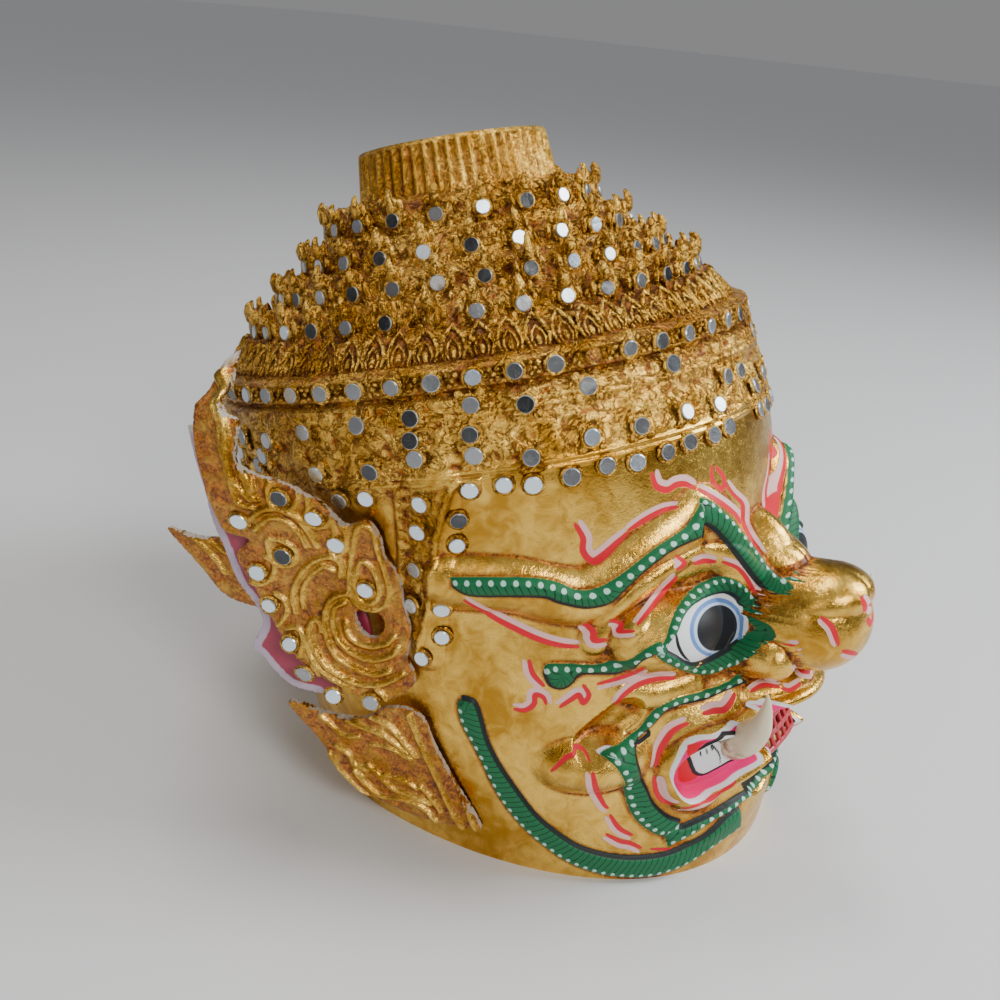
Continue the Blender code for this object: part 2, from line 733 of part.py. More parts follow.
def stand_centred(axis):
    """Moves the leaning axis so that the middle of the whole mask is over the origin."""
    bpy.context.view_layer.update()
    graph = bpy.context.evaluated_depsgraph_get()
    depths = []
    for obj in axis.children:
        if obj.hide_render:
            continue
        shown = obj.evaluated_get(graph)
        depths += [(shown.matrix_world @ v.co).y for v in shown.to_mesh().vertices]
        shown.to_mesh_clear()
    axis.location.y = -(min(depths) + max(depths)) / 2


def main():
    for obj in list(bpy.data.objects):
        bpy.data.objects.remove(obj)
    axis = bpy.data.objects.new("mask_axis", None)
    bpy.context.scene.collection.objects.link(axis)
    axis.rotation_euler = (-LEAN_BACK, 0, 0)
    gilt = material("gold leaf", (0.72, 0.47, 0.13), 0.35, 1.0)
    red = material("red lacquer", (0.55, 0.03, 0.04), 0.5, 0.0)
    ivory = material("ivory paint", (0.82, 0.76, 0.6), 0.4, 0.0)
    shell = head_shell(axis, gilt)
    crown_collar(axis, gilt)
    mouth_lattice(axis, red)
    tusks(axis, shell, ivory)
    side_pieces(axis, shell, gilt, red)
    stand_centred(axis)


main()
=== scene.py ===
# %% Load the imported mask
import json
import math

import bpy
import numpy as np
from mathutils import Matrix, Vector
from mathutils.bvhtree import BVHTree


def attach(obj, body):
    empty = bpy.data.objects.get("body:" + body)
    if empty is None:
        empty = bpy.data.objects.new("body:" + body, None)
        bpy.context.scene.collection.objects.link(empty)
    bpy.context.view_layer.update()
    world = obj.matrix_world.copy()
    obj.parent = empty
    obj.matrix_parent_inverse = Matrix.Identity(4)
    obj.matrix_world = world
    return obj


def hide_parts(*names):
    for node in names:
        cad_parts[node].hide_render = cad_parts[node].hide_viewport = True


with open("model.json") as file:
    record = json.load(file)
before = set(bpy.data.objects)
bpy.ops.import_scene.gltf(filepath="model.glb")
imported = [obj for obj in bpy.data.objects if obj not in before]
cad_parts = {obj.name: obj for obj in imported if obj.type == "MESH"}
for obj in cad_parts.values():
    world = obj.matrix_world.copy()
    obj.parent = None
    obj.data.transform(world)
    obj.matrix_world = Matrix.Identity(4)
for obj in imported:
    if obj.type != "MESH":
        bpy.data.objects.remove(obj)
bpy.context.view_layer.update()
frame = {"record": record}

MM = 0.001

# %% [markdown]
# The crown's own axis. The mask was thrown round one axis, like a pot, and then its lower edge was
# cut on a slant so that it stands leaning back. Every height and angle below is measured about that
# axis, in millimetres, and one matrix then stands the finished points in the row's frame. Angle 0
# is the front, and a positive angle turns to the mask's own left.

# %% The leaning axis
mounts = {mount["name"]: mount for mount in frame["record"]["mounts"]}
crown_way = Vector(mounts["collar_top"]["axis"])
LEAN_BACK = math.atan2(crown_way.y, crown_way.z)
AXIS_FOOT = Vector((0, mounts["rim_seat"]["pos_m"][1], 0))
STAND = Matrix.Translation(AXIS_FOOT) @ Matrix.Rotation(-LEAN_BACK, 4, "X")
STAND_TURN = np.array(STAND.to_3x3())
print("lean back in degrees", round(math.degrees(LEAN_BACK), 2))


def spot(angle, radius, height):
    """Points in millimetres about the crown's axis."""
    return np.stack(np.broadcast_arrays(
        radius * np.sin(angle), -radius * np.cos(angle), height), axis=-1)


def stand(points):
    """The same points in the row's frame, in metres."""
    return points * MM @ STAND_TURN.T + np.array(AXIS_FOOT)


# %% [markdown]
# The camera comes first, because the painted lines are placed through it. It has the photograph's
# own place, tilt and angle of view, so a line read off the photograph can be thrown back onto the
# carved face, the way a slide projector would.

# %% The photograph's camera
CAMERA_AZIMUTH = math.radians(55.246)
CAMERA_TILT = math.radians(-25.982)
CAMERA_ROLL = math.radians(-5.641)
CAMERA_FROM_FOOT = Vector((-0.32805, -0.19212, 0.29834))
PHOTO_SIZE = 1000
LENS_PIXELS = 1000

camera_place = AXIS_FOOT + CAMERA_FROM_FOOT
look = Vector((math.cos(CAMERA_TILT) * math.sin(CAMERA_AZIMUTH),
               math.cos(CAMERA_TILT) * math.cos(CAMERA_AZIMUTH), math.sin(CAMERA_TILT)))
level_right = look.cross(Vector((0, 0, 1))).normalized()
level_up = level_right.cross(look)
camera_up = math.cos(CAMERA_ROLL) * level_up + math.sin(CAMERA_ROLL) * level_right
camera_right = look.cross(camera_up)

camera_data = bpy.data.cameras.new("camera")
camera_data.sensor_width = 36
camera_data.lens = 36 * LENS_PIXELS / PHOTO_SIZE
camera_data.clip_start = 0.01
camera = bpy.data.objects.new("camera", camera_data)
bpy.context.scene.collection.objects.link(camera)
camera.matrix_world = Matrix.Translation(camera_place) @ Matrix(
    (camera_right, camera_up, -look)).transposed().to_4x4()
bpy.context.scene.camera = camera
print("camera at", [round(c, 3) for c in camera_place])


def photo_ray(pixel):
    """Start and direction of the ray through a pixel, about the crown's axis in millimetres."""
    across = (float(pixel[0]) - PHOTO_SIZE / 2) / LENS_PIXELS
    down = (float(pixel[1]) - PHOTO_SIZE / 2) / LENS_PIXELS
    way = look + across * camera_right - down * camera_up
    back = STAND.inverted()
    return (back @ camera_place) / MM, (back.to_3x3() @ way).normalized()


# %% [markdown]
# The carved form. The skull is a stack of rounded sections. Round masses are blended onto it for
# the snout, nose, eyes and cheeks, and soft lines raise the brows and lids. The form is one
# function of angle and height, so the same carving can be sampled as finely as a piece needs.

# %% Sections, masses and lines of the carving
ARC = 1.95
BAND_TOP = 176
SECTIONS = (
    (-45, -17, 112, 76, 84),
    (-20, -17, 122, 79, 88),
    (5, -15, 124, 82, 91),
    (35, -11, 124, 86, 94),
    (75, -6, 122, 94, 96),
    (105, -3, 120, 100, 97),
    (130, -1, 119, 106, 101),
    (147, 0, 116, 112, 107),
    (165, 0, 112, 112, 110),
    (176, 0, 110, 110, 110),
)
MASSES = {
    "muzzle": (92, 0, 34, 33, 46, 32, 12),
    "upper lip": (112, 0, 46, 22, 24, 11, 6),
    "nose bridge": (112, 0, 92, 20, 12, 22, 8),
    "nose": (136.8, 0, 73.5, 20.5, 20.5, 20.5, 6),
    "nostril": (127, 17, 62, 8.5, 8.5, 8.5, 3),
    "eyeball": (94, 40, 81, 23.5, 24, 17, 3),
    "cheek lobe": (68, 58, 34, 24, 20, 14, 8),
    "chin": (84, 0, -6, 22, 40, 16, 10),
}
BROW = ((64, 111), (58, 110), (51, 108), (44, 103), (38, 101), (32, 106), (26, 112), (20, 117),
        (16, 121), (12, 112), (9, 102), (6, 93), (2, 90))
SOFT_LINES = {
    "brow ridge": (BROW, 11, 5.5),
    "lid roll": (((38, 84), (34, 90), (28, 101), (20, 105), (13, 103), (8, 92)), 6, 3.0),
    "cheek crease": (((42, 42), (38, 48), (33, 54)), 6, -3.5),
    "lower lip dip": (((0, 6), (0, 24)), 14, -8.0),
    "under eye": (((34, 62), (28, 57), (20, 57)), 5, 2.0),
    "side strip": (((62, 150), (65, 128), (69, 108), (73, 84)), 9, 2.2),
}
RIBBON_LINES = {
    "brow ribbon": (BROW, 5.2, 2.4),
    "eye tail": (((31, 82), (34, 77), (38, 73), (43, 74), (47, 74)), 4, 2.4),
    "muzzle ribbon": (((9, 51), (16, 52), (23, 52), (28, 46), (33, 38), (34, 26), (33, 14),
                       (30, 4), (25, -4), (18, -5), (9, -5), (0, -6)), 5.5, 3.2),
    "lobe ribbon": (((31, 40), (36, 38), (40, 37)), 5, 3.6),
    "jaw ribbon": (((65, 63), (65, 48), (63, 34), (59, 20), (54, 7), (47, -5), (38, -14),
                    (28, -19), (14, -21), (0, -21)), 5.2, 2.0),
}
MOUTH = ((0, 42), (8, 42), (14, 38), (20, 37), (25, 31), (26, 20), (23, 9), (18, 6), (12, 12),
         (7, 19), (0, 21))
LIP_WIDTH, LIP_RISE, MOUTH_SINK = 4.2, 4.0, 5
WALL = 4.5
print("masses:", ", ".join(MASSES))


# %% Smooth sections and round masses
def section_at(height):
    """The section's centre, front, back and side at each height, joined by smooth cubics."""
    table = np.array(SECTIONS, float)
    stations = table[:, 0]
    height = np.clip(height, stations[0], stations[-1])
    place = np.clip(np.searchsorted(stations, height) - 1, 0, len(stations) - 2)
    span = stations[place + 1] - stations[place]
    t = (height - stations[place]) / span
    values = []
    for y in table[:, 1:].T:
        slope = np.gradient(y, stations)
        values.append((2 * t**3 - 3 * t**2 + 1) * y[place]
                      + (t**3 - 2 * t**2 + t) * span * slope[place]
                      + (3 * t**2 - 2 * t**3) * y[place + 1]
                      + (t**3 - t**2) * span * slope[place + 1])
    return values


def skull_radius(angle, height):
    centre, front, back, side = section_at(height)
    forward = np.cos(angle)

    def reach(length):
        a = (forward / length) ** 2 + (np.sin(angle) / side) ** 2
        b = -2 * forward * centre / length**2
        c = (centre / length) ** 2 - 1
        return (-b + np.sqrt(np.maximum(b * b - 4 * a * c, 0))) / (2 * a)

    ahead = reach(front)
    return np.where(ahead * forward >= centre, ahead, reach(back))


def mass_radius(angle, height, forward, side, middle, deep, wide, tall):
    c = np.cos(angle)
    s = np.abs(np.sin(angle))
    a = (c / deep) ** 2 + (s / wide) ** 2
    b = -2 * (c * forward / deep**2 + s * side / wide**2)
    rest = (forward / deep) ** 2 + (side / wide) ** 2 - 1 + ((height - middle) / tall) ** 2
    inside = b * b - 4 * a * rest
    root = np.where(inside > 0, np.sqrt(np.abs(inside)), -3 * np.sqrt(np.abs(inside)))
    return (-b + root) / (2 * a)


def blend_out(first, second, width):
    """The outer of two surfaces, with a soft join of this width."""
    share = np.clip(0.5 + 0.5 * (second - first) / width, 0, 1)
    return first * (1 - share) + second * share + width * share * (1 - share)


# %% Paths, and distances to them
def smooth_path(points, steps=5, closed=False):
    """A curve through the points, with a few steps in each span."""
    p = np.array(points, float)
    count = len(p)
    made = []
    for i in range(count if closed else count - 1):
        if closed:
            near = [p[(i + k) % count] for k in (-1, 0, 1, 2)]
        else:
            near = [p[min(max(i + k, 0), count - 1)] for k in (-1, 0, 1, 2)]
        for t in np.arange(steps) / steps:
            made.append(0.5 * (2 * near[1] + (near[2] - near[0]) * t
                               + (2 * near[0] - 5 * near[1] + 4 * near[2] - near[3]) * t**2
                               + (3 * near[1] - near[0] - 3 * near[2] + near[3]) * t**3))
    if not closed:
        made.append(p[-1])
    return np.array(made)


def line_distance(across, height, path):
    """Distance to a path, and how far along it the nearest point is."""
    nearest = np.full(np.shape(across), 1e9)
    along = np.zeros(np.shape(across))
    run = 0.0
    for a, b in zip(path[:-1], path[1:]):
        way = b - a
        length = max(math.hypot(*way), 1e-6)
        t = np.clip(((across - a[0]) * way[0] + (height - a[1]) * way[1]) / length**2, 0, 1)
        gap = np.hypot(across - a[0] - t * way[0], height - a[1] - t * way[1])
        closer = gap < nearest
        nearest = np.where(closer, gap, nearest)
        along = np.where(closer, run + t * length, along)
        run += length
    return nearest, along


def inside_path(across, height, path):
    inside = np.zeros(np.shape(across), bool)
    for a, b in zip(path, np.roll(path, -1, axis=0)):
        crosses = (a[1] > height) != (b[1] > height)
        rise = b[1] - a[1] if b[1] != a[1] else 1e-9
        inside ^= crosses & (across < a[0] + (height - a[1]) / rise * (b[0] - a[0]))
    return inside


def rounded(distance, half_width):
    """A rounded bump over a line, 1 on it and 0 at its half width."""
    return np.clip(1 - (distance / half_width) ** 2, 0, 1) ** 0.8


def both_sides(half):
    """A closed path from the half on one side."""
    one = smooth_path(half)
    return np.vstack([one, (one[::-1] * (-1, 1))[1:-1]])


# %% The whole form, its rim and a grid over it
MOUTH_PATH = both_sides(MOUTH) * (ARC, 1)
print("mouth outline has", len(MOUTH_PATH), "points")


def form_radius(angle, height, ribbons=False):
    """Distance from the axis to the carved face. The painted ribbons are added only if asked."""
    r = skull_radius(angle, height)
    for forward, side, middle, deep, wide, tall, blend in MASSES.values():
        mass = mass_radius(angle, height, forward, side, middle, deep, wide, tall)
        r = blend_out(r, mass, blend)
    across = np.degrees(np.abs(angle)) * ARC
    lines = {**SOFT_LINES, **(RIBBON_LINES if ribbons else {})}
    for points, half_width, rise in lines.values():
        path = smooth_path(points) * (ARC, 1)
        r = r + rise * rounded(line_distance(across, height, path)[0], half_width)
    edge = line_distance(across, height, np.vstack([MOUTH_PATH, MOUTH_PATH[:1]]))[0]
    hollow = inside_path(across, height, MOUTH_PATH) * np.clip(edge / LIP_WIDTH, 0, 1)
    return r + LIP_RISE * rounded(edge, LIP_WIDTH) - MOUTH_SINK * hollow


def rim_height(angle, radius_of):
    """Height of the slanted ground on the wall at each angle."""
    height = np.zeros_like(angle)
    for _ in range(60):
        height = 0.5 * height - 0.5 * radius_of(angle, height) * np.cos(angle) * math.tan(LEAN_BACK)
    return height


def grid_faces(rows, columns, wrap=False):
    """Quads between the points of a grid."""
    last = columns if wrap else columns - 1
    row, column = np.meshgrid(np.arange(rows - 1), np.arange(last), indexing="ij")
    beside = (column + 1) % columns
    low = row * columns
    high = low + columns
    return np.stack([low + column, low + beside, high + beside, high + column], -1).reshape(-1, 4)


# %% [markdown]
# A coarse copy of the carved face catches the rays. A ray through each measured pixel meets it, and
# the place where it lands is kept as two numbers on the unrolled face: how far round from the
# middle, and how high. Left and right then share one set of lines, as the maker's stencil would.

# %% A coarse face to catch the rays
CATCH_FROM, CATCH_TO, CATCH_ROWS = -150, 41, 141
catch_angles = np.radians(np.arange(CATCH_FROM, CATCH_TO, 1.0))
catch_low = rim_height(catch_angles, lambda a, h: form_radius(a, h, True))
catch_rows = np.linspace(0, 1, CATCH_ROWS)[:, None]
catch_heights = catch_low + catch_rows * (BAND_TOP - catch_low)
catch_grid = np.broadcast_to(catch_angles, catch_heights.shape)
catch_points = spot(catch_grid, form_radius(catch_grid, catch_heights, True), catch_heights)
catcher = BVHTree.FromPolygons(
    catch_points.reshape(-1, 3).tolist(), grid_faces(CATCH_ROWS, len(catch_angles)).tolist())


def land(pixel):
    """Where the ray through a pixel meets the face, in millimetres about the axis."""
    start, way = photo_ray(pixel)
    return catcher.ray_cast(start, way)[0]


def unrolled(pixels):
    """Pixels of the photograph as places on the unrolled face. A pixel that misses is dropped.

    A line that lies mostly on the far side of the face is turned over onto the near side.
    """
    places = []
    for pixel in pixels:
        point = land(pixel)
        if point is not None:
            angle = -math.degrees(math.atan2(point.x, -point.y))
            places.append((angle * ARC, point.z))
    places = np.array(places)
    return places * (-1 if places[:, 0].mean() < 0 else 1, 1)


print("eye lands at", unrolled([(716, 627)]).round(1))

# %% [markdown]
# The painted ribbons. A raised green band runs along the brow, round the eye, round the mouth and
# along the jaw. Each was read off the photograph as two edges, the dotted one first and the one
# with the dark line second. The same two edges raise the band and place its dots and hatching.

# %% Green ribbons, by their two edges in photograph pixels
RIBBONS = {
    "brow, outer limb": (
        ((449, 578), (487, 577), (529, 577), (556, 581), (577, 590), (598, 588), (622, 575),
         (652, 551), (670, 539), (688, 526), (695, 512), (701, 498)),
        ((452, 589), (469, 597), (508, 598), (544, 599), (559, 604), (583, 609), (598, 608),
         (613, 603), (628, 590), (648, 572), (670, 555), (688, 545), (703, 538))),
    "brow, inner limb": (
        ((698, 497), (707, 499), (715, 504), (730, 518), (745, 536), (760, 557), (771, 571),
         (780, 578), (788, 578), (791, 571)),
        ((700, 522), (707, 525), (715, 531), (730, 548), (745, 568), (757, 583), (768, 592),
         (784, 596), (796, 591), (802, 581), (800, 570))),
    "eye tail": (
        ((660, 640), (648, 650), (640, 656), (622, 663), (598, 666), (574, 665), (550, 664),
         (544, 668)),
        ((664, 652), (652, 658), (640, 664), (622, 671), (598, 675), (580, 676), (572, 682),
         (562, 688), (550, 685), (545, 676))),
    "muzzle": (
        ((748, 676), (730, 684), (709, 692), (685, 698), (667, 704), (653, 711), (646, 722),
         (638, 733), (622, 741), (608, 749), (601, 756), (610, 763), (621, 774), (626, 789),
         (629, 806), (637, 821), (652, 833), (667, 838), (682, 832)),
        ((751, 683), (730, 692), (709, 701), (685, 707), (670, 713), (659, 725), (650, 737),
         (643, 752), (642, 770), (646, 788), (653, 803), (667, 816), (682, 822))),
    "chin": (
        ((667, 846), (691, 838), (715, 825), (736, 813), (750, 802), (763, 789)),
        ((664, 826), (680, 830), (700, 822), (718, 812), (736, 800), (748, 789), (763, 776))),
    "jaw": (
        ((457, 703), (460, 719), (466, 734), (478, 758), (490, 782), (502, 801), (520, 824),
         (541, 843), (565, 860), (595, 872), (622, 876), (652, 875), (685, 866), (715, 848),
         (741, 826)),
        ((462, 698), (474, 703), (481, 719), (487, 740), (499, 764), (517, 791), (535, 815),
         (556, 833), (580, 848), (610, 856), (640, 857), (670, 851), (700, 837), (730, 819),
         (744, 808))),
}
EYE_BAND_OUTER = (
    (655, 654), (664, 640), (670, 620), (679, 602), (694, 586), (718, 576), (739, 582), (751, 596),
    (757, 612), (766, 625), (771, 636), (760, 647), (748, 656), (730, 666), (709, 674), (691, 673),
    (670, 665))
EYE_WHITE = (
    (665, 648), (676, 632), (682, 617), (691, 605), (706, 596), (724, 592), (736, 599), (742, 612),
    (747, 628), (736, 641), (718, 653), (700, 662), (688, 663), (676, 656))
RIBBON_RISE, RIBBON_ROLL = 2.3, 3.0
print("ribbons read off the photograph:", len(RIBBONS))


# %% Depth inside a painted outline
def ellipse(centre, half_wide, half_tall, turn=0.0, count=28):
    """Pixels round a tilted ellipse."""
    way = np.linspace(0, 2 * np.pi, count, endpoint=False)
    x = half_wide * np.cos(way)
    y = half_tall * np.sin(way)
    return np.stack([centre[0] + x * math.cos(turn) - y * math.sin(turn),
                     centre[1] + x * math.sin(turn) + y * math.cos(turn)], -1)


def near_only(across, height, path, margin, work, empty):
    """Runs the work only on points near a path's box, because most of the face is far from it."""
    low = path.min(axis=0) - margin
    high = path.max(axis=0) + margin
    close = (across > low[0]) & (across < high[0]) & (height > low[1]) & (height < high[1])
    results = [np.full(across.shape, float(value)) for value in empty]
    if close.any():
        for result, found in zip(results, work(across[close], height[close])):
            result[close] = found
    return results


def patch_depth(across, height, path, margin=9.0):
    """How deep inside a closed path each point lies. It is negative outside."""
    closed = np.vstack([path, path[:1]])

    def work(x, y):
        gap = line_distance(x, y, closed)[0]
        return [np.where(inside_path(x, y, path), gap, -gap)]

    return near_only(across, height, path, margin, work, [-margin])[0]


def edge_run(across, height, path, margin=12.0):
    """The gap to a path and the run along it, for points that lie near it."""
    return near_only(across, height, path, margin,
                     lambda x, y: line_distance(x, y, path), [margin, 0])


# %% [markdown]
# The painted strokes. Little flames of red, each with a pink shadow beside it, follow the brow, the
# eye and the mouth. Each stroke is a run of pixels, a half width, and the side that the pink is on.

# %% Red strokes with their pink shadows
STROKES = (
    (((575, 524), (583, 538), (583, 551), (592, 561), (604, 555), (616, 543), (628, 533)), 1.2, 1),
    (((629, 530), (646, 519), (664, 510), (678, 507)), 1.3, 1),
    (((652, 473), (656, 486), (667, 490), (676, 485), (685, 484), (695, 488)), 1.2, 1),
    (((698, 489), (709, 495), (724, 505), (736, 515), (740, 523)), 1.2, 1),
    (((712, 466), (712, 476), (717, 487), (723, 488), (724, 478), (716, 467)), 1.1, 0),
    (((725, 483), (733, 494), (742, 503), (743, 512), (743, 522), (749, 535), (757, 547),
      (763, 556)), 1.0, 1),
    (((464, 601), (490, 615), (514, 628), (538, 639), (559, 645), (578, 647)), 1.2, 1),
    (((584, 624), (593, 631), (594, 640), (606, 640)), 1.2, -1),
    (((610, 620), (622, 624), (618, 631), (634, 631)), 1.1, -1),
    (((637, 625), (649, 611), (664, 591), (677, 577)), 1.2, 1),
    (((676, 556), (685, 563), (677, 570)), 1.1, -1),
    (((694, 564), (704, 561), (716, 562)), 1.2, 1),
    (((722, 562), (736, 567), (745, 576), (752, 588), (761, 603), (772, 618)), 1.1, 1),
    (((529, 660), (533, 674), (544, 686)), 1.1, -1),
    (((514, 709), (525, 710), (534, 704), (535, 695), (543, 697), (546, 704)), 1.1, 1),
    (((560, 707), (572, 699), (579, 695), (583, 703), (589, 695), (583, 685)), 1.1, 1),
    (((597, 684), (616, 679), (634, 673), (645, 667)), 1.0, -1),
    (((616, 704), (625, 694), (640, 684), (658, 679), (675, 678)), 1.3, 1),
    (((551, 771), (565, 758), (574, 753), (575, 746), (584, 750), (590, 763)), 0.8, 0),
    (((593, 774), (596, 789), (603, 803), (608, 808)), 1.2, -1),
    (((610, 815), (619, 828), (632, 835)), 1.1, -1),
    (((606, 834), (620, 841), (630, 843), (641, 848)), 1.1, -1),
    (((650, 849), (672, 849)), 0.7, 0),
    (((656, 766), (660, 750), (672, 732), (688, 723)), 1.1, 1),
    (((654, 777), (656, 791), (662, 800), (672, 804)), 1.1, 1),
    (((682, 808), (700, 802), (718, 795), (735, 780)), 0.9, -1),
    (((704, 714), (715, 711), (724, 710), (733, 704), (741, 696)), 1.2, 1),
    (((750, 692), (763, 685), (779, 687)), 1.1, 1),
    (((782, 688), (790, 690), (801, 683)), 1.1, 1),
    (((762, 662), (763, 648), (773, 640), (788, 641), (796, 651), (796, 659)), 1.2, 1),
    (((797, 664), (803, 671), (818, 672)), 1.2, -1),
    (((821, 617), (832, 627), (838, 645)), 1.4, -1),
    (((842, 651), (857, 654)), 1.2, -1),
    (((861, 597), (865, 606), (864, 612)), 1.2, 1),
    (((868, 618), (870, 626)), 1.2, 1),
)
PINK_SIDE_STEP, PINK_WIDER = 1.9, 1.15
print("red strokes:", len(STROKES))


def stroke_depth(across, height, path, half_width, side=0.0):
    """Depth inside a brush stroke that swells in its middle, moved sideways if asked."""
    path = smooth_path(path, 4)
    way = np.gradient(path, axis=0)
    way = way / np.maximum(np.hypot(way[:, 0], way[:, 1]), 1e-6)[:, None]
    path = path + side * np.stack([-way[:, 1], way[:, 0]], -1)
    length = np.hypot(*np.diff(path, axis=0).T).sum()

    def work(x, y):
        gap, along = line_distance(x, y, path)
        swell = 0.45 + 0.55 * np.sqrt(np.clip(np.sin(np.pi * along / length), 0, 1))
        return [half_width * swell - gap]

    return near_only(across, height, path, 6.0, work, [-6])[0]


# %% [markdown]
# The lips, teeth and eyes are flat patches of paint, each with its outline.

# %% Lips, teeth and the eye's colours
LIPS = ((674, 775), (680, 760), (688, 747), (700, 740), (716, 738), (731, 730), (744, 728),
        (748, 745), (757, 757), (750, 764), (733, 772), (718, 784), (700, 795), (688, 799),
        (678, 791))
LIP_SHADE = ((678, 778), (686, 752), (700, 742), (712, 741), (700, 747), (690, 757), (690, 770),
             (698, 776), (686, 782))
TEETH = ((690, 758), (700, 750), (718, 741), (735, 734), (742, 752), (728, 761), (712, 770),
         (703, 774), (695, 771))
UPPER_LIP = ((762, 709), (770, 706), (780, 706), (793, 713), (786, 718), (770, 716))
FAR_TOOTH = ((772, 720), (790, 714), (790, 727), (780, 736))
TOOTH_LINES = (((716, 742), (718, 752), (720, 764)), ((700, 751), (701, 757)),
               ((706, 748), (707, 754)), ((711, 745), (712, 751)), ((723, 740), (724, 745)),
               ((729, 738), (730, 743)), ((734, 736), (735, 741)))
BLACK_LINES = (((676, 633), (678, 645), (683, 655), (690, 662)),
               ((703, 524), (703, 538)), ((637, 746), (644, 750), (651, 748), (656, 740)),
               ((651, 733), (655, 738), (652, 744)))
PAINT_CHIP = ((597, 752), (606, 746), (618, 748), (612, 753), (603, 758))
PUPIL = ellipse((717, 628), 19.5, 23.5, 0.35)
PALE_RING = ellipse((716.5, 628), 22.5, 26, 0.35)
BLUE_RING = ellipse((716, 627.5), 26, 30, 0.35)


# %% Bumps that look random but never change
def lumps(points, size, seed):
    """Smooth random bumps from -1 to 1, about this many millimetres across."""
    cell = np.floor(points / size)
    part = points / size - cell
    ease = part * part * (3 - 2 * part)
    total = 0.0
    for corner in np.ndindex(2, 2, 2):
        key = np.sin((cell + corner) @ np.array([12.99, 78.23, 37.72]) + seed) * 43758.5453
        value = 2 * (key - np.floor(key)) - 1
        total = total + value * np.prod(np.where(corner, ease, 1 - ease), axis=-1)
    return total


# %% Where the near side appears in the photograph
SEEN_LOW, SEEN_HIGH, SEEN_MM = (612, 495), (885, 700), 0.46
SEEN_ANGLE, SEEN_HEIGHTS, SEEN_SLACK = 52, (40, 132), 10
FAR_OFF = 9999.0


def photo_place(points):
    """Where points about the axis appear in the photograph, turned so that up is positive."""
    away = stand(points) - np.array(camera_place)
    deep = away @ np.array(look)
    right = away @ np.array(camera_right) / deep * LENS_PIXELS + PHOTO_SIZE / 2
    down = PHOTO_SIZE / 2 - away @ np.array(camera_up) / deep * LENS_PIXELS
    return -SEEN_MM * right, -SEEN_MM * down


def seen_places(angle, r, height):
    """Photograph places of the near side's points. Points that are hidden are sent far off."""
    points = spot(-np.abs(angle), r, height)
    across, tall = photo_place(points)
    start = photo_ray((500, 500))[0]
    near = np.degrees(np.abs(angle)) < SEEN_ANGLE
    near &= (height > SEEN_HEIGHTS[0]) & (height < SEEN_HEIGHTS[1])
    for place in np.argwhere(near):
        way = Vector(points[tuple(place)]) - start
        hit = catcher.ray_cast(start, way.normalized())[3]
        near[tuple(place)] = hit is None or hit > way.length - SEEN_SLACK
    return np.where(near, across, FAR_OFF), tall


# %% All the painted marks
MARK_NAMES = ("green", "red", "pink", "black", "white", "lips", "lip_shade", "iris", "pale", "pupil",
              "eye")
OUTSIDE_DEPTH, OUTSIDE_GAP = -9.0, 12.0
THIN_LINE, BOLD_LINE = 0.38, 0.8
TOOTH_RIM_HALF, TOOTH_RIM_OUT = 0.7, 0.4


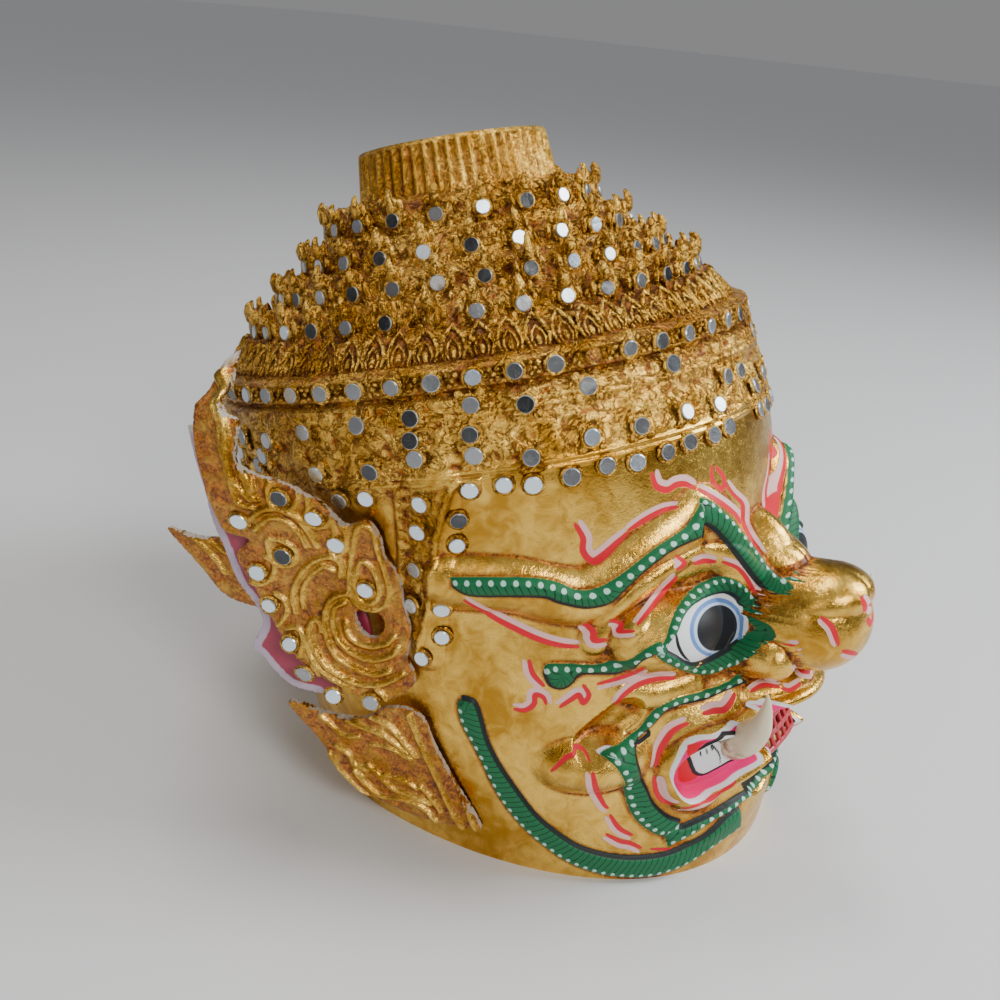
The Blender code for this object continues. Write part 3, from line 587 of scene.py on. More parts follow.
def paint_marks(across, height, seen):
    """Every painted mark, as a depth in millimetres that is positive inside it.

    Marks near the eye and nose are drawn as the photograph shows them, because the sides of the
    nose are too steep for the unrolled face.
    """
    marks = {name: np.full(across.shape, OUTSIDE_DEPTH) for name in MARK_NAMES}
    marks.update({name: np.full(across.shape, OUTSIDE_GAP) for name in ("dot_gap", "dark_gap")})
    marks.update({name: np.zeros(across.shape) for name in ("dot_run", "dark_run")})

    def chart(pixels):
        middle = np.mean(pixels, axis=0)
        if np.all(middle > SEEN_LOW) and np.all(middle < SEEN_HIGH):
            return seen, -SEEN_MM * np.array(pixels, float)
        return (across, height), unrolled(pixels)

    def add_ribbon(places, depth, dotted, dark):
        best = depth > marks["green"]
        dot_gap, dot_run = edge_run(*places, dotted)
        dark_gap, dark_run = edge_run(*places, dark)
        for name, values in (("green", depth), ("dot_gap", dot_gap), ("dot_run", dot_run),
                             ("dark_gap", dark_gap), ("dark_run", dark_run)):
            marks[name] = np.where(best, values, marks[name])

    def paint(name, depth):
        marks[name] = np.maximum(marks[name], depth)

    def patch(pixels, steps=3):
        places, path = chart(pixels)
        return patch_depth(*places, smooth_path(path, steps, True))

    for dotted, dark in RIBBONS.values():
        places, dotted_path = chart(dotted)
        dark_path = chart(dark)[1] if places is seen else unrolled(dark)
        dotted_path = smooth_path(dotted_path, 4)
        dark_path = smooth_path(dark_path, 4)
        depth = patch_depth(*places, np.vstack([dotted_path, dark_path[::-1]]))
        add_ribbon(places, depth, dotted_path, dark_path)
    outer = smooth_path(chart(EYE_BAND_OUTER)[1], 4, True)
    white = smooth_path(chart(EYE_WHITE)[1], 3, True)
    eye_depth = patch_depth(*seen, white)
    band = np.minimum(patch_depth(*seen, outer), -eye_depth)
    add_ribbon(seen, band, np.vstack([outer, outer[:1]]), np.vstack([white, white[:1]]))
    marks["eye"] = eye_depth
    for name, ring in (("pupil", PUPIL), ("pale", PALE_RING), ("iris", BLUE_RING)):
        paint(name, np.minimum(patch(ring), eye_depth))
    paint("white", eye_depth)

    for pixels, half_width, side in STROKES:
        places, path = chart(pixels)
        paint("red", stroke_depth(*places, path, half_width))
        shadow = stroke_depth(*places, path, half_width * PINK_WIDER, -side * PINK_SIDE_STEP)
        paint("pink", shadow if side else shadow - 0.3)
    for lines, half_width in ((TOOTH_LINES, THIN_LINE), (BLACK_LINES, BOLD_LINE)):
        for pixels in lines:
            places, path = chart(pixels)
            paint("black", stroke_depth(*places, path, half_width))
    for pixels in (LIPS, UPPER_LIP):
        paint("lips", patch(pixels))
    paint("lip_shade", patch(LIP_SHADE))
    paint("white", patch(PAINT_CHIP, 2))
    paint("white", patch(FAR_TOOTH, 2))
    tooth = patch(TEETH, 2)
    paint("white", tooth)
    paint("black", TOOTH_RIM_HALF - np.abs(tooth + TOOTH_RIM_OUT))
    return marks


# %% [markdown]
# The gilded skin. The face is sampled about every half millimetre, so that thin painted lines stay
# sharp, and the right half is mirrored to make the left. Above the double line the gold leaf lies
# on rough putty, so lumps are added there, and in the strip beside the face.

# %% Grooves, strips and rough putty
GROOVE_HEIGHTS = (171.5, 150.5)
GROOVE_HALF_GAP, GROOVE_HALF_WIDTH, GROOVE_RISE = 1.1, 0.9, 0.9
STRIP_RIBS = {
    "front": ((478, 482), (456, 484), (447, 500), (436, 540), (432, 570), (430, 600), (418, 650)),
    "back": ((398, 492), (400, 530), (401, 560), (398, 600), (392, 636)),
}
STRIP_RIB_RISE, STRIP_RIB_HALF = 1.4, 1.8
PUTTY_START = 152
PUTTY_LUMPS = ((1.0, 5.5, 1), (0.85, 2.4, 2))
HAND_WAVE = (0.12, 14, 3)
HOLLOW_REACH, HOLLOW_DEEP = 5, 0.85


def putty_share(across, height):
    """Where the gold lies on rough putty: the headband and the strips beside the face."""
    band = np.clip((height - PUTTY_START) / 3, 0, 1)
    outline = unrolled(STRIP_RIBS["front"] + STRIP_RIBS["back"][::-1])
    strip = np.clip(patch_depth(across, height, outline) / 2 + 0.5, 0, 1)
    behind = np.clip((height - 140) / 8, 0, 1) * np.clip((across - 62 * ARC) / 8, 0, 1)
    return np.maximum(np.maximum(band, strip), behind)


def blurred(values, reach):
    """A box blur over a grid, by running sums."""
    for axis in (0, 1):
        pad = [(0, 0), (0, 0)]
        pad[axis] = (reach + 1, reach)
        total = np.cumsum(np.pad(values, pad, mode="edge"), axis=axis)
        high = np.take(total, np.arange(2 * reach + 1, total.shape[axis]), axis=axis)
        low = np.take(total, np.arange(0, total.shape[axis] - 2 * reach - 1), axis=axis)
        values = (high - low) / (2 * reach + 1)
    return values


def skin_grid(angles, row_count):
    """Grid points, unrolled places, and the marks that the finishes read."""
    low = rim_height(angles, form_radius)
    share = np.linspace(0, 1, row_count)[:, None]
    height = low + share * (BAND_TOP - low)
    angle = np.broadcast_to(angles, height.shape)
    across = np.degrees(np.abs(angle)) * ARC
    r = form_radius(angle, height)
    marks = paint_marks(across, height, seen_places(angle, r, height))
    roll = np.clip(np.minimum(marks["green"], RIBBON_ROLL) / RIBBON_ROLL, 0, 1)
    r = r + RIBBON_RISE * np.sqrt(1 - (1 - roll) ** 2)
    for level in GROOVE_HEIGHTS:
        for side in (-1, 1):
            gap = np.abs(height - level - side * GROOVE_HALF_GAP)
            r = r + GROOVE_RISE * rounded(gap, GROOVE_HALF_WIDTH)
    for rib in STRIP_RIBS.values():
        gap = edge_run(across, height, smooth_path(unrolled(rib)))[0]
        r = r + STRIP_RIB_RISE * rounded(gap, STRIP_RIB_HALF)
    putty = putty_share(across, height)
    points = spot(angle, r, height)
    rough = sum(rise * lumps(points, size, seed) for rise, size, seed in PUTTY_LUMPS)
    rise, size, seed = HAND_WAVE
    r = r + putty * rough + rise * lumps(points, size, seed)
    # Painted shade: creases, where the skin lies below its neighbours, are marked hollow, and the gold
    # is painted amber and darker there.
    marks["hollow"] = np.clip((blurred(r, HOLLOW_REACH) - r) / HOLLOW_DEEP, -1, 1)
    marks["putty"] = putty
    return spot(angle, r, height), marks


# %% [markdown]
# From numbers to a piece. Every piece is made the same way: its points are stood up in the row's
# frame, its marks are stored on the mesh for the finish to read, and it rides on the one body.

# %% One function that turns points and faces into a piece
def add_piece(name, points, faces, finish, marks=None, stands_for=(),
              smooth=True):
    """A mesh of the mask. The points are in millimetres about the crown's axis."""
    mesh = bpy.data.meshes.new(name)
    mesh.from_pydata(stand(points.reshape(-1, 3)).tolist(), [], [list(face) for face in faces])
    mesh.polygons.foreach_set("use_smooth", [smooth] * len(mesh.polygons))
    for mark, values in (marks or {}).items():
        layer = mesh.attributes.new(mark, "FLOAT", "POINT")
        layer.data.foreach_set("value", np.asarray(values, np.float32).ravel())
    mesh.materials.append(finish)
    piece = bpy.data.objects.new(name, mesh)
    bpy.context.scene.collection.objects.link(piece)
    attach(piece, "root")
    if stands_for:
        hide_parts(*stands_for)
    print(name, "has", len(mesh.polygons), "faces")
    return piece

# %% [markdown]
# Shader helpers. A finish is a small network of nodes. These helpers plug one node into the next,
# so that each finish below reads as a recipe.

# %% Helpers for shader nodes
def add_node(tree, kind, **settings):
    made = tree.nodes.new(kind if kind.startswith("Node") else "ShaderNode" + kind)
    for name, value in settings.items():
        setattr(made, name, value)
    return made


def feed(tree, socket, value):
    """Plugs a socket in, or sets a plain value on it."""
    if isinstance(value, bpy.types.NodeSocket):
        tree.links.new(value, socket)
    elif value is not None:
        socket.default_value = value


def calc(tree, operation, *values):
    made = add_node(tree, "Math", operation=operation)
    for socket, value in zip(made.inputs, values):
        feed(tree, socket, value)
    return made.outputs[0]


def step_up(tree, value, low, high):
    """0 up to low and 1 from high, with a soft step between. It steps down if low is the larger."""
    made = add_node(tree, "MapRange", interpolation_type="SMOOTHSTEP")
    feed(tree, made.inputs["Value"], value)
    made.inputs["From Min"].default_value = low
    made.inputs["From Max"].default_value = high
    return made.outputs["Result"]


def mix_colours(tree, share, first, second):
    made = add_node(tree, "Mix", data_type="RGBA")
    feed(tree, made.inputs[0], share)
    feed(tree, made.inputs[6], first)
    feed(tree, made.inputs[7], second)
    return made.outputs[2]


def cloud(tree, size, detail=4.0, rough=0.55, twist=0.0, stretch=(1, 1, 1)):
    """Noise whose blots are about this many millimetres across."""
    mapping = add_node(tree, "Mapping")
    tree.links.new(add_node(tree, "TexCoord").outputs["Object"], mapping.inputs["Vector"])
    mapping.inputs["Scale"].default_value = stretch
    made = add_node(tree, "TexNoise")
    tree.links.new(mapping.outputs["Vector"], made.inputs["Vector"])
    made.inputs["Scale"].default_value = 1000 / size
    made.inputs["Detail"].default_value = detail
    made.inputs["Roughness"].default_value = rough
    made.inputs["Distortion"].default_value = twist
    return made.outputs[0]


def mark(tree, name):
    """A number that the mesh carries at each point."""
    return add_node(tree, "Attribute", attribute_name=name).outputs["Fac"]


def new_finish(name):
    finish = bpy.data.materials.new(name)
    finish.use_nodes = True
    return finish, finish.node_tree, finish.node_tree.nodes["Principled BSDF"]


def raise_relief(tree, shader, height, depth_mm, strength):
    bump = add_node(tree, "Bump")
    bump.inputs["Distance"].default_value = depth_mm * MM
    bump.inputs["Strength"].default_value = strength
    feed(tree, bump.inputs["Height"], height)
    tree.links.new(bump.outputs["Normal"], shader.inputs["Normal"])


# %% [markdown]
# Gold leaf over amber lacquer. Real leaf is laid in small wrinkled squares over an orange-brown
# size. On the smooth face it is bright with fine wrinkles. On the putty it breaks and the amber
# shows. The hollows are painted amber too, and the deepest a near-black brown, as painted shade
# as well as worn leaf. Several pieces need this, so it is one node group with the putty and the
# hollows as inputs, and each finish places it.

# %% The gold leaf node group
BRIGHT_GOLD = (0.9, 0.57, 0.11, 1)
DEEP_GOLD = (0.46, 0.225, 0.02, 1)
AMBER = (0.58, 0.19, 0.012, 1)
RED_BROWN = (0.13, 0.028, 0.005, 1)
# Dark for chips in the leaf, and for painted shade in the deepest hollows.
BARE_SPOT_AND_SHADE_DARK = (0.035, 0.014, 0.006, 1)


def make_gold_leaf():
    tree = bpy.data.node_groups.new("gold leaf over amber", "ShaderNodeTree")
    for name in ("Putty", "Hollow"):
        tree.interface.new_socket(name, in_out="INPUT", socket_type="NodeSocketFloat")
    for name, kind in (("Colour", "NodeSocketColor"), ("Roughness", "NodeSocketFloat"),
                       ("Metal", "NodeSocketFloat"), ("Relief", "NodeSocketFloat")):
        tree.interface.new_socket(name, in_out="OUTPUT", socket_type=kind)
    given = add_node(tree, "NodeGroupInput").outputs
    result = add_node(tree, "NodeGroupOutput").inputs
    wide = cloud(tree, 26, 3)
    flake = cloud(tree, 7, 5, 0.62, 0.9)
    wrinkle = cloud(tree, 2.4, 6, 0.62, 1.6)
    grain = cloud(tree, 0.8, 2)
    broken = calc(tree, "MULTIPLY", given["Putty"], calc(tree, "SUBTRACT", flake, 0.5))
    # Worn leaf on the putty, and painted shade in the hollows, both turn the gold amber.
    wear_and_hollow_shade = calc(tree, "ADD", calc(tree, "MULTIPLY", given["Hollow"], 0.85),
                calc(tree, "MULTIPLY", broken, 2.4))
    fold = calc(tree, "ABSOLUTE", calc(tree, "SUBTRACT", cloud(tree, 5.5, 4, 0.6, 0.8), 0.5))
    fold = calc(tree, "MULTIPLY", step_up(tree, fold, 0.05, 0.0), given["Putty"])
    chip = step_up(tree, cloud(tree, 1.7, 3, 0.7), 0.7, 0.74)
    chip = calc(tree, "MULTIPLY", chip, step_up(tree, wide, 0.46, 0.6))
    amber = step_up(tree, wear_and_hollow_shade, 0.18, 0.75)
    tone = step_up(tree, calc(tree, "ADD", calc(tree, "MULTIPLY", wide, 0.6),
                              calc(tree, "MULTIPLY", flake, 0.4)), 0.36, 0.62)
    gold = mix_colours(tree, tone, DEEP_GOLD, BRIGHT_GOLD)
    lacquer = mix_colours(tree, step_up(tree, wrinkle, 0.35, 0.65), RED_BROWN, AMBER)
    colour = mix_colours(tree, amber, gold, lacquer)
    # Painted shade: the deepest hollows go to a near-black brown.
    dark = calc(tree, "MULTIPLY", step_up(tree, given["Hollow"], 0.7, 1.1),
                step_up(tree, flake, 0.44, 0.6))
    colour = mix_colours(tree, calc(tree, "MULTIPLY", fold, 0.8), colour, RED_BROWN)
    colour = mix_colours(tree, calc(tree, "MAXIMUM", dark, chip), colour, BARE_SPOT_AND_SHADE_DARK)
    feed(tree, result["Colour"], colour)
    shine = calc(tree, "MULTIPLY_ADD", wrinkle, 0.24, 0.05)
    feed(tree, result["Roughness"], calc(tree, "MULTIPLY_ADD", wide, 0.14, shine))
    feed(tree, result["Metal"], calc(tree, "MULTIPLY_ADD", amber, -0.72, 1.0))
    height = calc(tree, "MULTIPLY", wrinkle,
                  calc(tree, "MULTIPLY_ADD", given["Putty"], 0.75, 0.25))
    height = calc(tree, "MULTIPLY_ADD", fold, -0.3, height)
    feed(tree, result["Relief"], calc(tree, "MULTIPLY_ADD", grain, 0.12, height))
    return tree


GOLD_LEAF = make_gold_leaf()


def place_gold_leaf(tree, putty, hollow):
    group = add_node(tree, "Group")
    group.node_tree = GOLD_LEAF
    feed(tree, group.inputs["Putty"], putty)
    feed(tree, group.inputs["Hollow"], hollow)
    return group.outputs


def make_rough_gold():
    """Gold leaf on putty, for the crown, its socket and the mirror settings."""
    finish, tree, shader = new_finish("gold leaf on putty")
    leaf = place_gold_leaf(tree, mark(tree, "putty"), mark(tree, "hollow"))
    feed(tree, shader.inputs["Base Color"], leaf["Colour"])
    feed(tree, shader.inputs["Roughness"], leaf["Roughness"])
    feed(tree, shader.inputs["Metallic"], leaf["Metal"])
    raise_relief(tree, shader, leaf["Relief"], 1.5, 0.9)
    return finish


ROUGH_GOLD = make_rough_gold()
print("gold leaf group has", len(GOLD_LEAF.nodes), "nodes")

# %% [markdown]
# The painted face. The paint is laid over the leaf in layers, as the painter did: pink shadow, then
# red, lips, whites and the eye, and last the green ribbons with their hatching, dark edge and white
# dots. A mark is positive inside its paint, so a narrow step at zero gives a clean brush edge.

# %% The painted finish of the face
PAINTS = {
    "green": (0.006, 0.15, 0.055, 1),
    "hatch": (0.001, 0.028, 0.014, 1),
    "dot": (0.5, 0.8, 0.68, 1),
    "dark": (0.012, 0.022, 0.022, 1),
    "red": (0.74, 0.012, 0.03, 1),
    "pink": (0.86, 0.52, 0.5, 1),
    "lips": (0.98, 0.012, 0.22, 1),
    "lip_shade": (0.8, 0.006, 0.025, 1),
    "white": (0.84, 0.86, 0.88, 1),
    "iris": (0.12, 0.26, 0.62, 1),
    "pale": (0.5, 0.64, 0.88, 1),
    "pupil": (0.012, 0.013, 0.016, 1),
    "black": (0.012, 0.012, 0.014, 1),
}
DOT_STEP, DOT_INSET, DOT_RADIUS, DOT_EDGE = 4.3, 1.75, 0.95, 0.15
HATCH_STEP, HATCH_SLANT = 2.5, 0.45
BRUSH_EDGE, LIP_BORDER, BRIM_SPILL = 0.16, 1.3, 0.7
PAINT_ROUGH, PAINT_SPECULAR = 0.5, 0.3
BRUSH_SHADE = (0.55, 0.55, 0.58, 1)


def darker(tree, colour):
    """A darker shade of a colour, for uneven brushwork."""
    made = add_node(tree, "Mix", data_type="RGBA", blend_type="MULTIPLY")
    made.inputs[0].default_value = 1.0
    feed(tree, made.inputs[6], colour)
    made.inputs[7].default_value = BRUSH_SHADE
    return made.outputs[2]


def make_painted_gold():
    finish, tree, shader = new_finish("painted gold leaf")
    leaf = place_gold_leaf(tree, mark(tree, "putty"), mark(tree, "hollow"))
    state = {"colour": leaf["Colour"], "painted": 0.0}

    def layer(mask, name):
        state["colour"] = mix_colours(tree, mask, state["colour"], PAINTS[name])
        state["painted"] = calc(tree, "MAXIMUM", state["painted"], mask)

    def inside(name, edge=0.0):
        return step_up(tree, mark(tree, name), edge - BRUSH_EDGE, edge + BRUSH_EDGE)

    layer(inside("pink"), "pink")
    layer(inside("red"), "red")
    layer(inside("lips", -LIP_BORDER), "white")
    layer(inside("lips"), "lips")
    layer(inside("lip_shade"), "lip_shade")
    for name in ("white", "iris", "pale", "pupil"):
        layer(inside(name), name)
    green = inside("green")
    layer(green, "green")
    run = mark(tree, "dark_run")
    dark_gap = mark(tree, "dark_gap")
    slant = calc(tree, "MULTIPLY_ADD", dark_gap, HATCH_SLANT, run)
    stripe = calc(tree, "FRACT", calc(tree, "DIVIDE", slant, HATCH_STEP))
    stripe = step_up(tree, calc(tree, "ABSOLUTE", calc(tree, "SUBTRACT", stripe, 0.5)), 0.11, 0.05)
    hatch_end = step_up(tree, mark(tree, "dot_gap"), 1.9, 2.6)
    layer(calc(tree, "MULTIPLY", calc(tree, "MULTIPLY", stripe, hatch_end), green), "hatch")
    brim = calc(tree, "MULTIPLY", inside("green", -BRIM_SPILL), step_up(tree, dark_gap, 1.05, 0.7))
    layer(brim, "dark")
    beside = calc(tree, "FRACT", calc(tree, "DIVIDE", mark(tree, "dot_run"), DOT_STEP))
    beside = calc(tree, "MULTIPLY", calc(tree, "SUBTRACT", beside, 0.5), DOT_STEP)
    away = calc(tree, "SUBTRACT", mark(tree, "dot_gap"), DOT_INSET)
    reach = calc(tree, "SQRT", calc(tree, "ADD", calc(tree, "MULTIPLY", beside, beside),
                                    calc(tree, "MULTIPLY", away, away)))
    dots = step_up(tree, reach, DOT_RADIUS + DOT_EDGE, DOT_RADIUS - DOT_EDGE)
    layer(calc(tree, "MULTIPLY", dots, green), "dot")
    layer(inside("black"), "black")

    brushed = cloud(tree, 6, 4)
    worn_paint = mix_colours(tree, calc(tree, "MULTIPLY", brushed, 0.22), state["colour"],
                             darker(tree, state["colour"]))
    feed(tree, shader.inputs["Base Color"],
         mix_colours(tree, state["painted"], state["colour"], worn_paint))
    feed(tree, shader.inputs["Metallic"], calc(tree, "MULTIPLY", leaf["Metal"],
                                               calc(tree, "SUBTRACT", 1.0, state["painted"])))
    flat = calc(tree, "MULTIPLY", state["painted"], PAINT_ROUGH)
    shine = calc(tree, "MULTIPLY", leaf["Roughness"], calc(tree, "SUBTRACT", 1.0, state["painted"]))
    feed(tree, shader.inputs["Roughness"], calc(tree, "ADD", flat, shine))
    shader.inputs["Specular IOR Level"].default_value = PAINT_SPECULAR
    relief = calc(tree, "MULTIPLY", leaf["Relief"],
                  calc(tree, "MULTIPLY_ADD", state["painted"], -0.75, 1.0))
    raise_relief(tree, shader, relief, 0.9, 0.8)
    return finish


PAINTED_GOLD = make_painted_gold()
print("painted finish has", len(PAINTED_GOLD.node_tree.nodes), "nodes")

# %% [markdown]
# The face and skull. Three pieces stand for the one solid shell, because each piece has to stay
# light: the right half of the face, its mirror image, and the back of the head.

# %% Face and skull
FACE_REACH = 84
FACE_ROWS, FACE_COLUMNS = 331, 271
SKULL_ROWS, SKULL_COLUMNS = 161, 221
MOUTH_GAP_HALF, MOUTH_GAP_LOW, MOUTH_GAP_HIGH = 12.4, 17.6, 37.5


def open_mouth(points, faces):
    """Leaves out the faces in front of the grille, where the mouth is cut through."""
    middle = points.reshape(-1, 3)[faces].mean(axis=1)
    inside = np.abs(middle[:, 0]) < MOUTH_GAP_HALF
    inside &= (middle[:, 2] > MOUTH_GAP_LOW) & (middle[:, 2] < MOUTH_GAP_HIGH)
    return faces[~inside]


right_angles = np.radians(np.linspace(-FACE_REACH, 0, FACE_COLUMNS))
right_points, face_marks = skin_grid(right_angles, FACE_ROWS)
right_faces = open_mouth(right_points, grid_faces(FACE_ROWS, FACE_COLUMNS))
for name, flip, faces in (("face_skin_right", 1, right_faces),
                          ("face_skin_left", -1, right_faces[:, ::-1])):
    add_piece(name, right_points * (flip, 1, 1), faces, PAINTED_GOLD, face_marks, ["head_shell"])
back_angles = np.radians(np.linspace(FACE_REACH, 360 - FACE_REACH, SKULL_COLUMNS))
back_points, back_marks = skin_grid((back_angles + np.pi) % (2 * np.pi) - np.pi, SKULL_ROWS)
add_piece("skull_skin_back", back_points, grid_faces(SKULL_ROWS, SKULL_COLUMNS), PAINTED_GOLD,
          back_marks, ["head_shell"])

# %% [markdown]
# The inside. The wearer's head goes up into the shell, so the wall has its true thickness: a plain
# papier-mache lining joined to the skin along the cut rim.

# %% Lining and rim
def lining_radius(angle, height):
    return np.minimum(skull_radius(angle, height), form_radius(angle, height)) - WALL


HOLLOW_PROFILE = ((150, 103), (166, 103), (181, 97), (194, 84), (206, 68), (216, 50), (223, 30),
                  (227, 12), (227.5, 0.5))
LINING_STEP, LINING_RINGS = 2.5, 24
PAPER_DARK, PAPER_LIGHT = (0.16, 0.1, 0.055, 1), (0.34, 0.25, 0.16, 1)


def make_lining():
    finish, tree, shader = new_finish("papier-mache lining")
    paper = cloud(tree, 18, 5, 0.6, 0.6)
    feed(tree, shader.inputs["Base Color"], mix_colours(
        tree, step_up(tree, paper, 0.35, 0.7), PAPER_DARK, PAPER_LIGHT))
    shader.inputs["Roughness"].default_value = 0.85
    raise_relief(tree, shader, cloud(tree, 5, 5, 0.6, 1.0), 0.8, 0.7)
    angles = np.radians(np.arange(-180, 180, LINING_STEP))
    outer_low = rim_height(angles, form_radius)
    inner_low = rim_height(angles, lining_radius)
    rings = [spot(angles, form_radius(angles, outer_low), outer_low)]
    for share in np.linspace(0, 1, LINING_RINGS):
        height = inner_low + share * (HOLLOW_PROFILE[0][0] - inner_low)
        rings.append(spot(angles, lining_radius(angles, height), height))
    for height, radius in HOLLOW_PROFILE[1:]:
        rings.append(spot(angles, np.full(len(angles), radius), height))
    faces = grid_faces(len(rings), len(angles), True)[:, ::-1]
    add_piece("inner_lining", np.array(rings), faces, finish, stands_for=["head_shell"])


make_lining()

# %% [markdown]
# Small shapes by the hundred. The crown's leaves, spikes, beads and mirror settings are each made
# once about their own middle, as sideways, outward and up, and a loop sets them round the crown.
# They are collected into one mesh for each kind, because hundreds of objects would be slow.

# %% A pile of small shapes
UPRIGHT = np.array((0.0, 0.0, 1.0))
ODD_WAY = (0.13, 0.99, 0.08)
DISC_SIDES = 16


class Pile:
    """Collects small shapes into the points, faces and marks of one piece."""

    def __init__(self):
        self.points = []
        self.faces = []
        self.marks = {"putty": [], "hollow": []}
        self.count = 0

    def add(self, points, faces, putty=1.0, hollow=0.0, **others):
        points = np.asarray(points, float).reshape(-1, 3)
        self.points.append(points)
        self.faces += [[int(i) + self.count for i in face] for face in faces]
        for name, value in {"putty": putty, "hollow": hollow, **others}.items():
            values = np.broadcast_to(np.asarray(value, float).ravel(), len(points))
            self.marks.setdefault(name, []).append(values)
        self.count += len(points)

    def piece(self, name, finish, stands_for=(), slot="gold_leaf", smooth=True):
        marks = {name: np.concatenate(values) for name, values in self.marks.items() if values}
        return add_piece(name, np.concatenate(self.points), self.faces, finish, marks,
                         stands_for, smooth)


# %% Setting a small shape in its place
def set_round(shape, angle, radius, height):
    """Sets a shape on the crown: its sideways, outward and up become a place round the axis."""
    side, out, up = np.asarray(shape).reshape(-1, 3).T
    reach = radius + out
    return np.stack([reach * math.sin(angle) + side * math.cos(angle),
                     -reach * math.cos(angle) + side * math.sin(angle), height + up], -1)


def set_on(shape, centre, out_way):
    """Sets a shape on any surface, by the surface's outward way."""
    out_way = np.array(out_way, float)
    side_way = np.cross(out_way, UPRIGHT)
    side_way = -side_way / np.linalg.norm(side_way)
    top_way = np.cross(side_way, out_way)
    top_way = top_way * np.sign(top_way @ UPRIGHT)
    side, out, up = np.asarray(shape).reshape(-1, 3).T
    return (np.array(centre) + side[:, None] * side_way + out[:, None] * out_way
            + up[:, None] * top_way)


# %% Bars, beads, leaves, discs and rings
def swept(centres, radii, sides=8):
    """A closed tapering bar along a line of points. Its sides start from one odd direction."""
    centres = np.array(centres, float)
    rings = []
    for k, centre in enumerate(centres):
        ahead = centres[min(k + 1, len(centres) - 1)] - centres[max(k - 1, 0)]
        ahead = ahead / np.linalg.norm(ahead)
        side = np.cross(ahead, ODD_WAY)
        side = side / np.linalg.norm(side)
        up = np.cross(side, ahead)
        turn = np.arange(sides) * 2 * np.pi / sides
        rings.append(centre + radii[k] * (np.cos(turn)[:, None] * side
                                          + np.sin(turn)[:, None] * up))
    faces = grid_faces(len(rings), sides, True).tolist()
    last = (len(rings) - 1) * sides
    return np.array(rings).reshape(-1, 3), faces + [list(range(sides))[::-1],
                                                    list(range(last, last + sides))]


def bead(centre, radii, rings=6, sides=8):
    """A closed rounded lump."""
    level = np.linspace(-np.pi / 2, np.pi / 2, rings)[:, None]
    turn = (np.arange(sides) * 2 * np.pi / sides)[None, :]
    ball = np.stack([np.cos(level) * np.cos(turn), np.cos(level) * np.sin(turn),
                     np.sin(level) + 0 * turn], -1)
    faces = [face[::-1] for face in grid_faces(rings, sides, True).tolist()]
    return (ball * np.array(radii) + np.array(centre)).reshape(-1, 3), faces


def leaf(width, height, bulge, lean=0.0, steps=9):
    """A pointed leaf with concentric outlines, standing on its wide end. It may lean in."""
    across = np.linspace(-1, 1, steps)[None, :]
    up = np.linspace(0, 1, steps + 2)[:, None]
    half = width / 2 * (1 - up) ** 0.55 * (0.72 + 1.1 * up * (1 - up))
    edge = np.maximum(np.abs(across), up ** 3)
    out = bulge * (1 - edge**2) + lean * up**2
    out = out + 0.16 * bulge * np.cos(2 * np.pi * edge) * (1 - up)
    out = np.where(edge > 0.97, out - 1.2, out)
    points = np.stack(np.broadcast_arrays(half * across, out, up * height), -1)
    return points.reshape(-1, 3), grid_faces(steps + 2, steps).tolist()


def disc(radius, thick):
    """A thin round plate facing outward, with a small bevel. Its first two rings form its edge."""
    sides = DISC_SIDES
    turn = np.arange(sides) * 2 * np.pi / sides
    rings = []
    for reach, out in ((1.0, 0.0), (1.0, thick * 0.7), (0.9, thick)):
        rings.append(np.stack([radius * reach * np.cos(turn), np.full(sides, out),
                               radius * reach * np.sin(turn)], -1))
    faces = [face[::-1] for face in grid_faces(3, sides, True).tolist()]
    faces.append(list(range(2 * sides, 3 * sides))[::-1])
    return np.array(rings).reshape(-1, 3), faces


def setting(radius, tube, sides=14, around=4):
    """The raised gold ring that holds a mirror."""
    turn = (np.arange(sides) * 2 * np.pi / sides)[:, None]
    roll = (np.arange(around + 1) * np.pi / around)[None, :]
    reach = radius + tube * np.cos(roll)
    out = tube * np.sin(roll)
    points = np.stack(np.broadcast_arrays(reach * np.cos(turn), out, reach * np.sin(turn)), -1)
    faces = []
    for i in range(sides):
        for j in range(around):
            a = i * (around + 1) + j
            b = ((i + 1) % sides) * (around + 1) + j
            faces.append([a, a + 1, b + 1, b])
    return points.reshape(-1, 3), faces


def tilted(shape, sideways, upward):
    """Leans a shape about its own middle by two small angles."""
    side, out, up = np.asarray(shape).T
    side, out = (side * math.cos(sideways) - out * math.sin(sideways),
                 side * math.sin(sideways) + out * math.cos(sideways))
    up, out = (up * math.cos(upward) - out * math.sin(upward),
               up * math.sin(upward) + out * math.cos(upward))
    return np.stack([side, out, up], -1)


# %% [markdown]
# The little mirrors. They are glued glass discs, each at its own slight tilt. How bright or dark
# each one looks is also painted into its glass as a reflection: a tone from 0 to 1, from dark grey
# to a pale sky blue, stands for what each one reflects.

